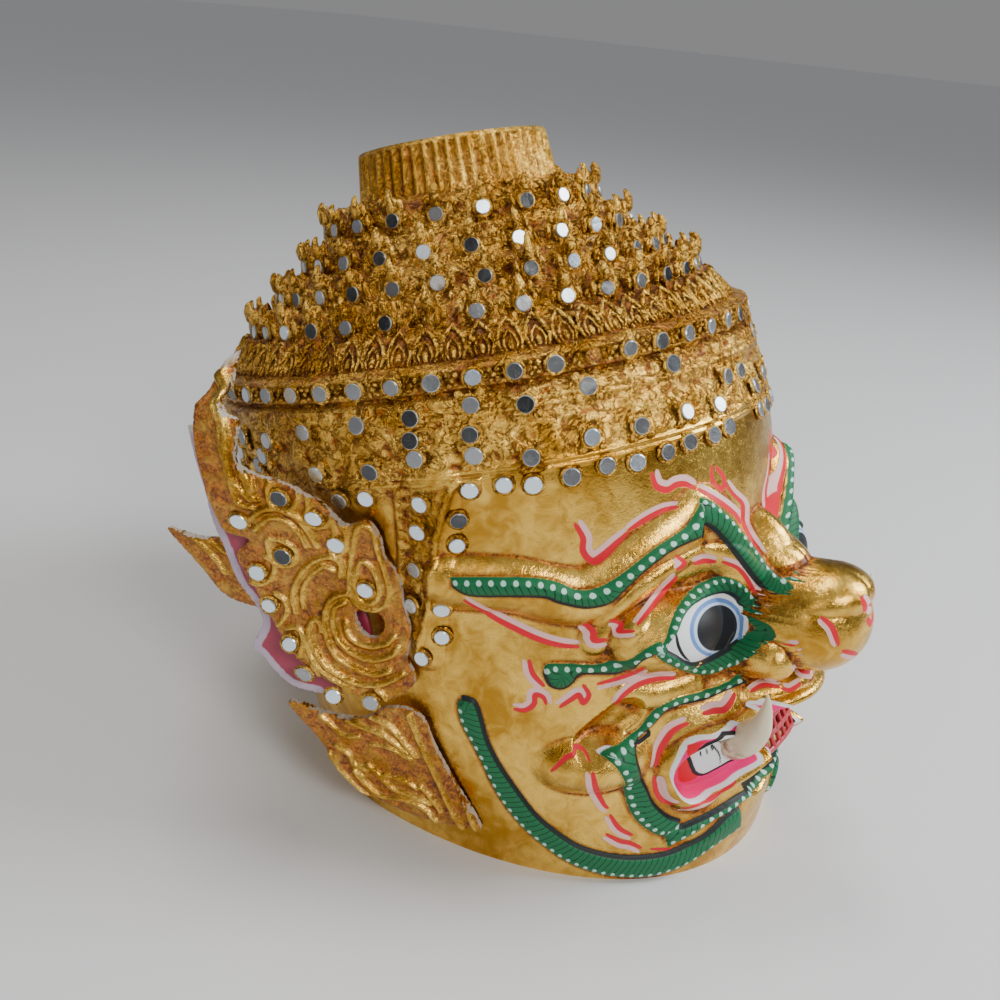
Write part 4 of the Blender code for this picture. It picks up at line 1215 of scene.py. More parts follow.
# %% Mirror glass
def make_mirror_glass():
    finish, tree, shader = new_finish("mirror glass")
    smudge = cloud(tree, 3.5, 4, 0.6, 0.8)
    # Painted reflection: the tone mark sets each glass from dark grey through grey to a pale sky blue.
    tone = calc(tree, "MULTIPLY_ADD", smudge, 0.16, calc(tree, "SUBTRACT", mark(tree, "tone"), 0.08))
    reflection_grey = mix_colours(tree, step_up(tree, tone, 0.0, 0.55), (0.05, 0.055, 0.06, 1),
                       (0.42, 0.44, 0.46, 1))
    colour = mix_colours(tree, step_up(tree, tone, 0.5, 1.0), reflection_grey, (0.78, 0.9, 1.0, 1))
    edge = step_up(tree, mark(tree, "edge"), 0.4, 0.6)
    feed(tree, shader.inputs["Base Color"], mix_colours(tree, edge, colour, (0.5, 0.5, 0.47, 1)))
    feed(tree, shader.inputs["Metallic"], calc(tree, "MULTIPLY_ADD", edge, -0.7, 0.95))
    feed(tree, shader.inputs["Roughness"], calc(tree, "MULTIPLY_ADD", smudge, 0.3, 0.1))
    return finish


MIRROR_GLASS = make_mirror_glass()
print("mirror glass has", len(MIRROR_GLASS.node_tree.nodes), "nodes")
mirrors = Pile()
settings = Pile()
chance = np.random.RandomState(7)
BEZEL_TUBE, BEZEL_GAP = 0.75, 0.45
GLASS_THICK, GLASS_STANDS, GLASS_TILT = 0.7, 0.5, 0.12
# Reflections painted on mirrors that no pixel gives, and how often each comes.
ANY_REFLECTION_TONE = (0.08, 0.3, 0.5, 0.62, 0.9)
REFLECTION_TONE_SHARES = (0.2, 0.25, 0.25, 0.15, 0.15)


def add_mirror(place, radius=3.0, tone=None, out=0.3, droop=0.0):
    """A mirror in its ring. The place turns a small shape into points on the mask. The tone is the
    reflection painted on its glass.
    """
    if tone is None:
        tone = chance.choice(ANY_REFLECTION_TONE, p=REFLECTION_TONE_SHARES)
    glass, glass_faces = disc(radius * chance.uniform(0.94, 1.06), GLASS_THICK)
    tilt = chance.uniform(-GLASS_TILT, GLASS_TILT, 2) + (0, droop)
    glass = tilted(glass, *tilt) + (0, out + GLASS_STANDS, 0)
    edge = np.repeat((1.0, 1.0, 0.0), DISC_SIDES)
    mirrors.add(place(glass), glass_faces, tone=tone, edge=edge)
    ring, ring_faces = setting(radius + BEZEL_GAP, BEZEL_TUBE)
    ring = tilted(ring, 0, droop)
    ring = ring + 0.22 * lumps(ring + chance.uniform(0, 90, 3), 1.6, 5)[:, None]
    settings.add(place(ring + (0, out, 0)), ring_faces, hollow=0.1)


# %% [markdown]
# The stepped crown. Under the leaves is one turned body: a band for mirrors, a shelf for the small
# lotus leaves, and four steps. It is rough putty, so its skin is pushed in and out by noise.

# %% Body of the crown
CROWN_PROFILE = (
    (110.2, 175.5), (109.0, 176.8), (106.6, 177.4), (107.6, 178.3), (109.6, 179.2), (109.2, 180.2),
    (107.8, 181.0), (107.6, 183.4), (109.0, 184.6), (109.2, 185.8), (107.0, 186.8), (104.0, 187.3),
    (102.2, 187.6), (100.4, 189.4), (98.6, 193.0), (95.5, 196.0), (92.0, 196.8), (89.8, 198.0),
    (88.0, 200.6), (86.4, 204.2), (82.6, 206.4), (79.0, 207.2), (77.2, 208.6), (75.6, 211.4),
    (73.8, 214.8), (70.0, 217.2), (66.6, 218.0), (65.0, 219.4), (63.2, 221.8), (61.2, 225.4),
    (58.0, 228.0), (55.0, 229.6), (53.4, 231.2), (51.6, 234.2), (49.4, 238.0), (45.8, 240.3),
    (41.4, 241.6), (34.0, 242.0))


CROWN_COLUMNS = 450
CROWN_LUMPS = ((1.1, 4.6, 11), (0.8, 2.3, 12))
CALM_BELOW, BAND_LOW, BAND_HIGH = 176.5, 178.5, 187


def make_crown_body():
    profile = smooth_path(CROWN_PROFILE, 3)
    angles = np.linspace(0, 2 * np.pi, CROWN_COLUMNS, endpoint=False)
    points = spot(angles[None, :], profile[:, 0][:, None], profile[:, 1][:, None])
    rough = sum(rise * lumps(points, size, seed) for rise, size, seed in CROWN_LUMPS)
    calm = np.clip((profile[:, 1] - CALM_BELOW) / 2, 0, 1)[:, None]
    band = ((profile[:, 1] > BAND_LOW) & (profile[:, 1] < BAND_HIGH))[:, None]
    rough = rough * calm * np.where(band, 0.5, 1.0)
    radius = profile[:, 0][:, None] + rough
    height = profile[:, 1][:, None] + 0.4 * rough
    # Painted shade: where the lumps dip, the hollow mark rises, and the gold is painted amber and
    # darker there.
    hollow = np.clip(0.38 - 0.5 * rough, 0, 1)
    points = spot(angles[None, :], radius, height)
    add_piece("crown_body", points, grid_faces(len(profile), len(angles), True), ROUGH_GOLD,
              {"putty": np.ones(points.shape[:2]), "hollow": hollow}, ["head_shell"])


make_crown_body()

# %% [markdown]
# Leaves of the four tiers. Each leaf carries a mirror low on its face, a horn that rises from
# above the mirror and curls outward, and small lumps beside it. A tier is a radius, a height, a
# number of leaves, where the first stands, and the reflections painted on its mirrors: dark, grey
# or bright.

# %% Tiers of horned leaves
TIERS = (
    (88.5, 201.0, 37, 0.8, "bdgdxggbggddg"),
    (76.2, 211.1, 31, 0.92, "gddgddbggg"),
    (63.9, 221.5, 25, 0.58, "gdbdbgbgd"),
    (52.5, 233.6, 21, 0.5, "gddbdgg"),
)
# Reflections painted on the mirrors' glass: dark, grey and bright.
REFLECTION_TONES = {"d": 0.1, "g": 0.45, "b": 0.95}
TIER_MIRROR, TIER_MIRROR_OUT, TIER_MIRROR_DROOP = 2.6, 3.3, -0.12
SEEN_FROM, SEEN_TO = -105, 10
LEAF_LUMPS = (((4.7, 2.2, 0.6), (1.3, 1.4, 2.9)), ((3.4, 2.4, 5.0), (1.0, 1.1, 2.2)),
              ((4.4, 2.0, -4.2), (1.8, 1.5, 1.5)))
LOOSE_LUMPS, LOOSE_FROM = 950, 14
crown_leaves = Pile()


def roughened(points, amount, seed):
    return points + amount * np.stack([lumps(points, 2.2, seed + k) for k in range(3)], -1)


def add_horned_leaf(angle, radius, height, tone):
    def place(shape):
        return set_round(shape, angle, radius, height)

    base, faces = leaf(12.5, 14.5, 2.4, lean=1.2)
    base = base + (0, 0.2, -6.2)
    # Painted shade: toward its sunk edge the leaf is marked hollow, so it is painted amber and darker
    # there.
    crown_leaves.add(roughened(place(base), 0.35, 21), faces,
                     hollow=np.clip(0.75 - 0.3 * base[:, 1], 0, 1))
    sway = chance.uniform(-0.9, 0.9)
    tall = chance.uniform(9.0, 11.4)
    horn, faces = swept(((0, 1.6, 2.4), (0.1 * sway, 3.1, 4.4), (0.4 * sway, 3.9, 0.7 * tall),
                         (0.8 * sway, 3.4, 0.9 * tall), (sway, 2.5, tall)),
                        (2.0, 2.2, 1.6, 1.05, 0.5))
    crown_leaves.add(roughened(place(horn), 0.22, 31), faces, hollow=0.02)
    for side in (-1, 1):
        for (beside, out, up), radii in LEAF_LUMPS:
            lump, faces = bead((beside * side, out, up), radii)
            crown_leaves.add(roughened(place(lump), 0.3, 41), faces, hollow=0.15)
    if tone != "x":
        add_mirror(place, TIER_MIRROR, REFLECTION_TONES.get(tone), TIER_MIRROR_OUT, TIER_MIRROR_DROOP)
    else:
        lump, faces = bead((0, 1.7, 0), (2.6, 0.9, 2.6))
        crown_leaves.add(roughened(place(lump), 0.4, 45), faces, hollow=0.5)


for radius, height, count, first, mirror_reflections in TIERS:
    step = 2 * math.pi / count
    for k in range(count):
        angle = (k + first) * step
        turned = (math.degrees(angle) + 180) % 360 - 180
        seen = math.radians(turned - SEEN_FROM) / step
        tone = mirror_reflections[int(seen) % len(mirror_reflections)] if SEEN_FROM < turned < SEEN_TO else None
        add_horned_leaf(angle, radius, height, tone)
profile_path = smooth_path(CROWN_PROFILE[LOOSE_FROM:], 4)
for k in range(LOOSE_LUMPS):
    radius, height = profile_path[chance.randint(len(profile_path))]
    if chance.rand() * 100 < radius:
        size = chance.uniform(0.9, 2.3)
        lump, lump_faces = bead((0, 0.4, 0), size * chance.uniform(0.7, 1.3, 3), 5, 7)
        middle = set_round(lump, chance.uniform(0, 2 * math.pi), radius, height)
        crown_leaves.add(roughened(middle, 0.4, 47), lump_faces, hollow=chance.uniform(0, 0.25))
crown_leaves.piece("crown_leaves", ROUGH_GOLD, ["head_shell"])

# %% [markdown]
# The lotus row and the mirror band. Small onion-shaped leaves, each with one outline inside
# another and a bead in its heart, stand side by side above a moulding that holds larger mirrors.

# %% Lotus leaves and mirror band
LOTUS_RADIUS, LOTUS_HEIGHT, LOTUS_COUNT = 102.2, 187.2, 69
BAND_RADIUS, BAND_HEIGHT, BAND_COUNT, BAND_FIRST = 108.4, 182.0, 51, math.radians(-88.2)
GONE_FROM_BAND = (8, 15)
LOTUS_SLOPE, LOTUS_BACK_SHADE = 0.72, 0.95
BAND_MIRROR, BAND_MIRROR_OUT = 2.75, 0.6
BAND_LUMPS = ((5.4, 1.8), (6.7, 0.0), (5.6, -1.8), (8.0, 1.5), (7.9, -1.6))
LOTUS_ARCH = ((-0.36, 0), (-0.5, 0.3), (-0.36, 0.68), (0, 1), (0.36, 0.68), (0.5, 0.3), (0.36, 0))
LOTUS_ARCHES = ((8.2, 10.2, 0.8, 1.7, 0.4), (4.7, 6.0, 0.5, 2.3, 0.9))
lotus = Pile()


def add_lotus_leaf(angle):
    def place(shape):
        return set_round(shape, angle, LOTUS_RADIUS, LOTUS_HEIGHT)

    def lean_in(shape):
        shape = np.asarray(shape, float)
        return shape - (0, 1, 0) * (LOTUS_SLOPE * shape[:, 2])[:, None]

    back, faces = leaf(10.0, 12.0, 1.2)
    # Painted shade: the back leaf behind the raised outlines is marked deeply hollow, so it is painted
    # amber and dark.
    lotus.add(roughened(place(lean_in(back + (0, 0.4, 0))), 0.16, 51), faces,
              hollow=LOTUS_BACK_SHADE)
    for width, height, thick, out, start in LOTUS_ARCHES:
        arch = [(width * side, out, start + height * up) for side, up in LOTUS_ARCH]
        arch, faces = swept(lean_in(arch), (0.6 * thick, thick, thick, 1.15 * thick, thick, thick,
                                            0.6 * thick), 6)
        lotus.add(roughened(place(arch), 0.14, 53), faces, hollow=0.0)
    heart, faces = bead((0, 2.1, 2.6), (1.15, 1.1, 1.7))
    lotus.add(roughened(place(lean_in(heart)), 0.2, 55), faces, hollow=0.05)


for k in range(LOTUS_COUNT):
    add_lotus_leaf((k + 0.3) * 2 * math.pi / LOTUS_COUNT)
for k in range(BAND_COUNT):
    angle = BAND_FIRST + k * 2 * math.pi / BAND_COUNT

    def band_place(shape, angle=angle):
        return set_round(shape, angle, BAND_RADIUS, BAND_HEIGHT)

    if k in GONE_FROM_BAND:
        lump, lump_faces = bead((0, 0.4, 0), (3.2, 1.0, 3.0))
        lotus.add(roughened(band_place(lump), 0.5, 61), lump_faces, hollow=0.5)
    else:
        add_mirror(band_place, BAND_MIRROR, out=BAND_MIRROR_OUT)
    for side, up in BAND_LUMPS:
        lump, lump_faces = bead((side, 0.5, up), (0.95, 0.8, 0.85), 6, 8)
        lotus.add(roughened(band_place(lump), 0.25, 63), lump_faces, hollow=0.1)
lotus.piece("lotus_row", ROUGH_GOLD, ["head_shell"])

# %% [markdown]
# The fluted socket. The spire that it held is lost, so it stays an open cup with a thin plain lip.
# The flutes were pressed by hand, so their width and depth wander a little.

# %% Fluted socket
SOCKET_FOOT, SOCKET_TALL, SOCKET_FLUTES = 241.7, 19.0, 54
SOCKET_FOOT_RADIUS, SOCKET_LIP_RADIUS, SOCKET_WALL = 40.4, 37.8, 3.6
FLUTE_STEPS, FLUTE_DEEP, FLUTES_END = 12, 1.35, 0.91
CUP_FLOOR, SOCKET_PUTTY = 0.22, 0.55


def make_socket():
    angles = np.linspace(0, 2 * np.pi, SOCKET_FLUTES * FLUTE_STEPS, endpoint=False)
    circle = np.stack([40 * np.cos(angles), 40 * np.sin(angles), 0 * angles], -1)
    wander = 0.35 * lumps(circle, 9, 71)
    wave = np.cos(SOCKET_FLUTES * angles + 2.2 * wander)
    up = np.concatenate([np.linspace(0, 0.9, 14), (0.925, 0.95, 1.0)])
    rings = []
    depths = []
    for share in up:
        radius = SOCKET_FOOT_RADIUS + share * (SOCKET_LIP_RADIUS - SOCKET_FOOT_RADIUS)
        depth = FLUTE_DEEP * (0.5 - 0.5 * wave) * (1 if share < FLUTES_END else 0.15)
        radius = radius - depth - (0.5 if share > 0.97 else 0)
        rings.append(spot(angles, radius, np.full(len(angles), SOCKET_FOOT + share * SOCKET_TALL)))
        depths.append(depth)
    for radius, share in ((SOCKET_LIP_RADIUS - SOCKET_WALL + 0.5, 1.0),
                          (SOCKET_LIP_RADIUS - SOCKET_WALL, 0.97),
                          (SOCKET_LIP_RADIUS - SOCKET_WALL, 0.24),
                          (SOCKET_LIP_RADIUS - SOCKET_WALL - 1, CUP_FLOOR), (1.0, CUP_FLOOR)):
        rings.append(spot(angles, np.full(len(angles), radius),
                          np.full(len(angles), SOCKET_FOOT + share * SOCKET_TALL)))
        depths.append(np.full(len(angles), 0.2 if share > 0.9 else 0.7))
    points = np.array(rings)
    points = points + 0.22 * lumps(points, 2.6, 73)[..., None] * (1, 1, 0.4)
    # Painted shade: the flute troughs and the cup's inner wall are marked hollow, so they are painted
    # more amber.
    hollow = np.clip(np.array(depths) * 0.5 - 0.08, 0, 1)
    putty = np.full(points.shape[:2], SOCKET_PUTTY)
    add_piece("fluted_socket", points, grid_faces(len(rings), len(angles), True), ROUGH_GOLD,
              {"putty": putty, "hollow": hollow}, ["crown_collar"])


make_socket()

# %% [markdown]
# Mirrors on the headband and beside the face. The ones the photograph shows are placed by pixel
# and set on the skin with the skin's own slope, and mirrored to the far side. Behind the ears
# the same rows carry on at an even step.

# %% Mirrors on the skin
# Each mirror is a pixel and the reflection painted on its glass: d dark, g grey, b bright.
BAND_MIRRORS = (
    (275, 412, "g"), (305, 432, "g"), (358, 425, "g"), (411, 418, "d"), (411, 440, "d"),
    (416, 459, "g"), (471, 405, "g"), (470, 434, "d"), (474, 455, "g"), (525, 404, "d"),
    (587, 386, "d"), (531, 457, "g"), (591, 437, "b"), (640, 426, "g"), (671, 364, "d"),
    (725, 377, "g"), (685, 412, "g"), (717, 405, "g"), (318, 473, "b"), (371, 471, "d"),
    (341, 499, "g"), (367, 497, "b"), (421, 503, "b"), (470, 489, "b"), (504, 484, "b"),
    (533, 484, "b"), (571, 476, "g"), (606, 465, "g"), (636, 462, "b"), (666, 452, "g"),
    (688, 442, "g"), (712, 435, "g"), (727, 427, "g"),
)
STRIP_MIRRORS = (
    (419, 531, "b"), (416, 569, "g"), (413, 605, "b"), (423, 657, "b"), (442, 608, "b"),
    (442, 636, "b"), (458, 519, "d"), (457, 544, "b"),
)
BACK_ROWS = ((160, 3), (166, 0), (156, 6), (144, 0))
BACK_START, BACK_STEP, FLOWERS_ABOVE = 97, 9.5, 153
SKIN_MIRROR, SKIN_MIRROR_OUT = 2.9, 0.5
PETAL_REACH, PETAL = 4.9, (1.7, 1.0, 1.7)


def skin_frame(point):
    """The skin's outward way at a place, from the coarse face."""
    found = catcher.find_nearest(point)
    return np.array(found[1])


def add_leaf_flower(place, seed):
    """Four small leaves pressed round a mirror."""
    for k in range(4):
        turn = math.pi / 4 + k * math.pi / 2
        lump, faces = bead((PETAL_REACH * math.cos(turn), 0.5, PETAL_REACH * math.sin(turn)), PETAL)
        settings.add(roughened(place(lump), 0.4, seed), faces, hollow=0.2)


def mirror_on_skin(point, way, tone, flowered):
    for flip in (1, -1):
        centre = np.array(point) * (flip, 1, 1)
        facing = np.array(way) * (flip, 1, 1)

        def place(shape, centre=centre, facing=facing):
            return set_on(shape, centre, facing)

        add_mirror(place, SKIN_MIRROR, REFLECTION_TONES.get(tone), out=SKIN_MIRROR_OUT)
        if flowered:
            add_leaf_flower(place, 81)


for u, v, tone in BAND_MIRRORS + STRIP_MIRRORS:
    point = land((u, v))
    if point is not None:
        mirror_on_skin(point, skin_frame(point), tone, point.z > FLOWERS_ABOVE)
for height, offset in BACK_ROWS:
    for degrees in np.arange(BACK_START + offset, 180, BACK_STEP):
        angle = math.radians(-degrees)
        radius = float(form_radius(np.array([angle]), np.array([float(height)]))[0])
        point = spot(np.array(angle), radius, height)
        mirror_on_skin(point, (math.sin(angle), -math.cos(angle), 0.05), None,
                       height > FLOWERS_ABOVE)
print("mirrors so far", len(mirrors.points))

# %% [markdown]
# The plates beside the head. They are cut leather or card with carving laid on in putty and gilded.
# Each is one sheet: a grid of small cells inside its outline, whose front is raised into ribs. The
# ribs were read off the photograph by pixel, so the rays are first thrown onto the plate's plane.

# %% Outlines of the plates, in millimetres and pixels
EAR_OUTLINE = (
    (46, 194), (50, 198), (53, 186), (55, 174), (56, 158), (57, 146), (57, 137), (50, 133),
    (58, 127), (56, 113), (53, 101), (49, 91), (44, 82), (37, 73), (27, 67), (15, 65), (4, 71),
    (3, 82), (0, 92), (1, 104), (0, 114), (3, 122), (2, 130), (4, 137), (12, 136), (17, 146),
    (27, 154), (36, 158), (42, 164), (38, 176), (43, 181))
EAR_HOLE = ((20, 101), (12, 101), (9, 96), (13, 91), (18, 93))
BACKING_EDGE = ((188, 424), (190, 440), (196, 464), (205, 494), (215, 529), (230, 564),
                (239, 584), (252, 601), (262, 622), (252, 646), (262, 656), (276, 673), (289, 684),
                (304, 690))
BACKING_HIDDEN = ((22, 66), (5, 78), (3, 96), (5, 116), (14, 134), (24, 140), (30, 150), (36, 162))
REAR_FLAME_OUTLINE = ((56, 136), (44, 131), (22, 128), (4, 118), (2, 104), (20, 98), (42, 104),
                      (50, 118))
JAW_OUTLINE = (
    (66, 63), (57, 46), (51, 30), (39, 18), (23, 10), (3, 6), (0, 9), (5, 28), (9, 44), (12, 58),
    (24, 61), (36, 56), (50, 58))
EAR_FLARE, JAW_FLARE = math.radians(25), math.radians(20)
EAR_FORWARD, BACKING_FORWARD, REAR_FORWARD, JAW_FORWARD = 26, 10, -10, 33
EAR_CELL, BACKING_CELL, REAR_CELL, JAW_CELL = 0.75, 1.0, 0.9, 0.75
EAR_THICK, JAW_THICK, THIN_BOARD = 2.8, 2.6, 2.2
EAR_TORN_ABOVE, BACKING_TORN, NEVER_TORN = 194.5, 5, 300
TOUCH_HEIGHTS = np.arange(0, 201, 4.0)
TOUCH_GAP, CROWN_ABOVE = 0.6, 173
print("ear plate outline has", len(EAR_OUTLINE), "points")


# %% Places beside the head
def half_width(forward, height):
    """How far the head reaches sideways at a place forward and a height."""
    if height > CROWN_ABOVE:
        radius = np.interp(height, [p[1] for p in CROWN_PROFILE], [p[0] for p in CROWN_PROFILE])
        return math.sqrt(radius**2 - forward**2)
    hit = catcher.ray_cast(Vector((-300, -forward, height)), Vector((1, 0, 0)))[0]
    return abs(hit.x) if hit else 96.0


class PlatePlace:
    """Lays plate sizes on a side of the head, from an inner edge that touches the skin."""

    def __init__(self, forward, flare):
        self.forward = forward
        self.flare = flare
        self.touch = np.array([half_width(forward, height) for height in TOUCH_HEIGHTS]) + TOUCH_GAP

    def __call__(self, shape, side=-1):
        out, height, depth = np.moveaxis(np.asarray(shape, float), -1, 0)
        touch = np.interp(height, TOUCH_HEIGHTS, self.touch)
        x = touch + out * math.sin(self.flare) + depth * math.cos(self.flare)
        y = -self.forward + out * math.cos(self.flare) - depth * math.sin(self.flare)
        return np.stack([side * x, y, height], -1)

    def catch(self, depth):
        """Readies a plane that turns pixels of the photograph into places on the plate."""
        out, height = np.meshgrid(np.arange(-10, 75, 2.5), np.arange(0, 205, 2.5))
        grid = self(np.stack([out, height, np.full(out.shape, depth)], -1))
        tree = BVHTree.FromPolygons(grid.reshape(-1, 3).tolist(), grid_faces(*out.shape).tolist())

        def land_flat(pixels):
            places = []
            for pixel in pixels:
                point = tree.ray_cast(*photo_ray(pixel))[0]
                if point is not None:
                    run = point.y + self.forward + depth * math.sin(self.flare)
                    places.append((run / math.cos(self.flare), point.z))
            return np.array(places)

        return land_flat


# %% A sheet cut to an outline
def onto_path(points, path):
    """The nearest points of a closed path."""
    closed = np.vstack([path, path[:1]])
    along = line_distance(points[:, 0], points[:, 1], closed)[1]
    run = np.concatenate([[0], np.cumsum(np.hypot(*np.diff(closed, axis=0).T))])
    return np.stack([np.interp(along, run, closed[:, 0]), np.interp(along, run, closed[:, 1])], -1)


BEVEL, BEVEL_WIDE = 0.55, 1.3


def carved_sheet(outline, holes, cell, thick, relief):
    """A sheet as points (out, height, depth), faces, and marks for its edge, rim and hollows."""
    low = outline.min(axis=0) - cell
    high = outline.max(axis=0) + 2 * cell
    across, tall = np.meshgrid(np.arange(low[0], high[0], cell), np.arange(low[1], high[1], cell))
    deep = patch_depth(across, tall, outline, 12)
    paths = [outline] + list(holes)
    nearest = np.zeros(across.shape, int)
    for number, hole in enumerate(holes):
        hole_deep = -patch_depth(across, tall, hole, 12)
        nearest = np.where(hole_deep < deep, number + 1, nearest)
        deep = np.minimum(deep, hole_deep)
    kept = deep > -0.5 * cell
    corners = kept[:-1, :-1] & kept[:-1, 1:] & kept[1:, 1:] & kept[1:, :-1]
    quads = grid_faces(*across.shape)[corners.ravel()]
    used, flat = np.unique(quads, return_inverse=True)
    quads = flat.reshape(-1, 4)
    places = np.stack([across.ravel()[used], tall.ravel()[used]], -1)
    deep = deep.ravel()[used]
    near = nearest.ravel()[used]
    for number, path in enumerate(paths):
        snap = (deep < 0.5 * cell) & (near == number)
        if snap.any():
            places[snap] = onto_path(places[snap], path)
            deep[snap] = 0
    edges = np.concatenate([quads[:, [i, (i + 1) % 4]] for i in range(4)])
    codes = edges[:, 0] * len(used) + edges[:, 1]
    back_codes = edges[:, 1] * len(used) + edges[:, 0]
    rim = edges[~np.isin(codes, back_codes)]
    raised = relief(places[:, 0], places[:, 1])
    bevel = BEVEL * np.clip(deep / BEVEL_WIDE, 0, 1) ** 0.5
    front = np.column_stack([places, thick - BEVEL + bevel + raised])
    back = np.column_stack([places, np.zeros(len(places))])
    walls = np.unique(rim)
    spot_of = {int(v): n for n, v in enumerate(walls)}
    count = len(places)
    points = np.vstack([front, back, front[walls], back[walls]])
    faces = quads[:, ::-1].tolist() + (quads + count).tolist()
    for a, b in rim:
        a, b = 2 * count + spot_of[int(a)], 2 * count + spot_of[int(b)]
        faces.append([a, b, b + len(walls), a + len(walls)])
    edge = np.concatenate([np.zeros(2 * count), np.ones(2 * len(walls))])
    rim_gap = np.concatenate([deep, deep, np.zeros(2 * len(walls))])
    # Painted shade as well as worn leaf: the ground between the ribs is marked hollow, so it is painted
    # amber and a little darker.
    hollow = np.clip(0.7 - 0.5 * raised, 0, 0.95)
    hollow = np.concatenate([hollow, hollow * 0 + 0.3, np.full(2 * len(walls), 0.2)])
    behind = np.concatenate([np.zeros(count), np.ones(count), np.zeros(2 * len(walls))])
    return points, faces, {"edge": edge, "rim_gap": rim_gap, "hollow": hollow, "behind": behind}


# %% Raised ribs over a sheet
RIB_DEEPER, LEAF_LINE_HALF, LEAF_LINE_RISE = 1.6, 1.2, 1.6


def carving(land_flat, ribs, leaves=(), rough=0.3):
    """Height of the raised ribs over a plate. A rib is a run of pixels, a half width, a height."""
    paths = [(smooth_path(land_flat(pixels), 4), wide, RIB_DEEPER * tall)
             for pixels, wide, tall in ribs]
    paths += [(smooth_path(land_flat(pixels), 4, True), LEAF_LINE_HALF, LEAF_LINE_RISE)
              for pixels in leaves]

    def relief(out, height):
        total = np.zeros(out.shape)
        for path, wide, tall in paths:
            def work(x, y, path=path, wide=wide, tall=tall):
                gap = line_distance(x, y, path)[0]
                return [tall * rounded(gap, wide)]
            total = np.maximum(total, near_only(out, height, path, 5, work, [0])[0])
        flat = np.stack([out, height, 0 * out], -1)
        return total + rough * lumps(flat, 3.0, 91) + 0.5 * rough * lumps(flat, 1.5, 92)

    return relief


# %% [markdown]
# The two finishes of the plates. The gilt ones show pale raw board on their cut edges. The red ones
# behind have a hand-painted pale border. Both their red and the border are painted as they look in
# shade: the red darker and mauve, the border lilac.

# %% Finishes of the plates
CUT_EDGE = (0.62, 0.56, 0.47, 1)
CRIMSON_PAINTED_IN_SHADE = (0.36, 0.035, 0.085, 1)
PALE_BORDER_PAINTED_IN_SHADE, PALE_BORDER_PAINTED_IN_SHADE_DARK = (0.58, 0.47, 0.58, 1), (0.4, 0.3, 0.42, 1)
RED_DARK, GRILLE_RED = (0.3, 0.02, 0.045, 1), (0.6, 0.03, 0.03, 1)
RAW_BOARD, TORN_BOARD = (0.4, 0.34, 0.28, 1), (0.6, 0.57, 0.52, 1)
PLATE_PUTTY, BORDER_WIDE, BORDER_SOFT = 0.45, 3.0, 3.7


def make_plate_gold():
    finish, tree, shader = new_finish("gilt board")
    leaf = place_gold_leaf(tree, PLATE_PUTTY, mark(tree, "hollow"))
    chips = step_up(tree, cloud(tree, 5, 4, 0.6), 0.42, 0.5)
    cut = calc(tree, "MULTIPLY", mark(tree, "edge"), chips)
    cut = calc(tree, "MAXIMUM", cut, mark(tree, "broken"))
    raw = mix_colours(tree, cloud(tree, 1.2, 3), RAW_BOARD, CUT_EDGE)
    feed(tree, shader.inputs["Base Color"], mix_colours(tree, cut, leaf["Colour"], raw))
    feed(tree, shader.inputs["Roughness"], calc(tree, "MULTIPLY_ADD", cut, 0.4, leaf["Roughness"]))
    feed(tree, shader.inputs["Metallic"], calc(tree, "MULTIPLY", leaf["Metal"],
                                               calc(tree, "SUBTRACT", 1.0, cut)))
    raise_relief(tree, shader, leaf["Relief"], 0.7, 0.6)
    return finish


def make_red_lacquer(name="red lacquer", bordered=True):
    finish, tree, shader = new_finish(name)
    blotch = cloud(tree, 9, 4)
    brush = cloud(tree, 1.6, 4, 0.6, 0.2, (1, 1, 0.25))
    # Painted shade: the backing's red is darker and more mauve than the grille's red.
    red = mix_colours(tree, blotch, RED_DARK, CRIMSON_PAINTED_IN_SHADE if bordered else GRILLE_RED)
    if bordered:
        wander = calc(tree, "MULTIPLY_ADD", brush, 1.6, -0.8)
        gap = calc(tree, "ADD", mark(tree, "rim_gap"), wander)
        border = step_up(tree, gap, BORDER_SOFT, BORDER_WIDE)
        # Painted shade: the pale border is given the lilac it shows in shade.
        pale = mix_colours(tree, brush, PALE_BORDER_PAINTED_IN_SHADE_DARK, PALE_BORDER_PAINTED_IN_SHADE)
        red = mix_colours(tree, border, red, pale)
        red = mix_colours(tree, mark(tree, "broken"), red, TORN_BOARD)
    feed(tree, shader.inputs["Base Color"], red)
    feed(tree, shader.inputs["Roughness"], calc(tree, "MULTIPLY_ADD", brush, 0.2, 0.36))
    shader.inputs["Coat Weight"].default_value = 0.25
    raise_relief(tree, shader, brush, 0.35, 0.5)
    return finish


PLATE_GOLD = make_plate_gold()
RED_BACKING = make_red_lacquer()
RED_GRILLE = make_red_lacquer("red grille", False)
print("gilt board has", len(PLATE_GOLD.node_tree.nodes), "nodes")

# %% [markdown]
# The carving on the plates. Each rib is the middle line of a scroll in the photograph, with its half
# width and height in millimetres, and each leaf is an outline. Lines are quicker to read off than
# edges, and a rounded profile along them looks like rolled putty.

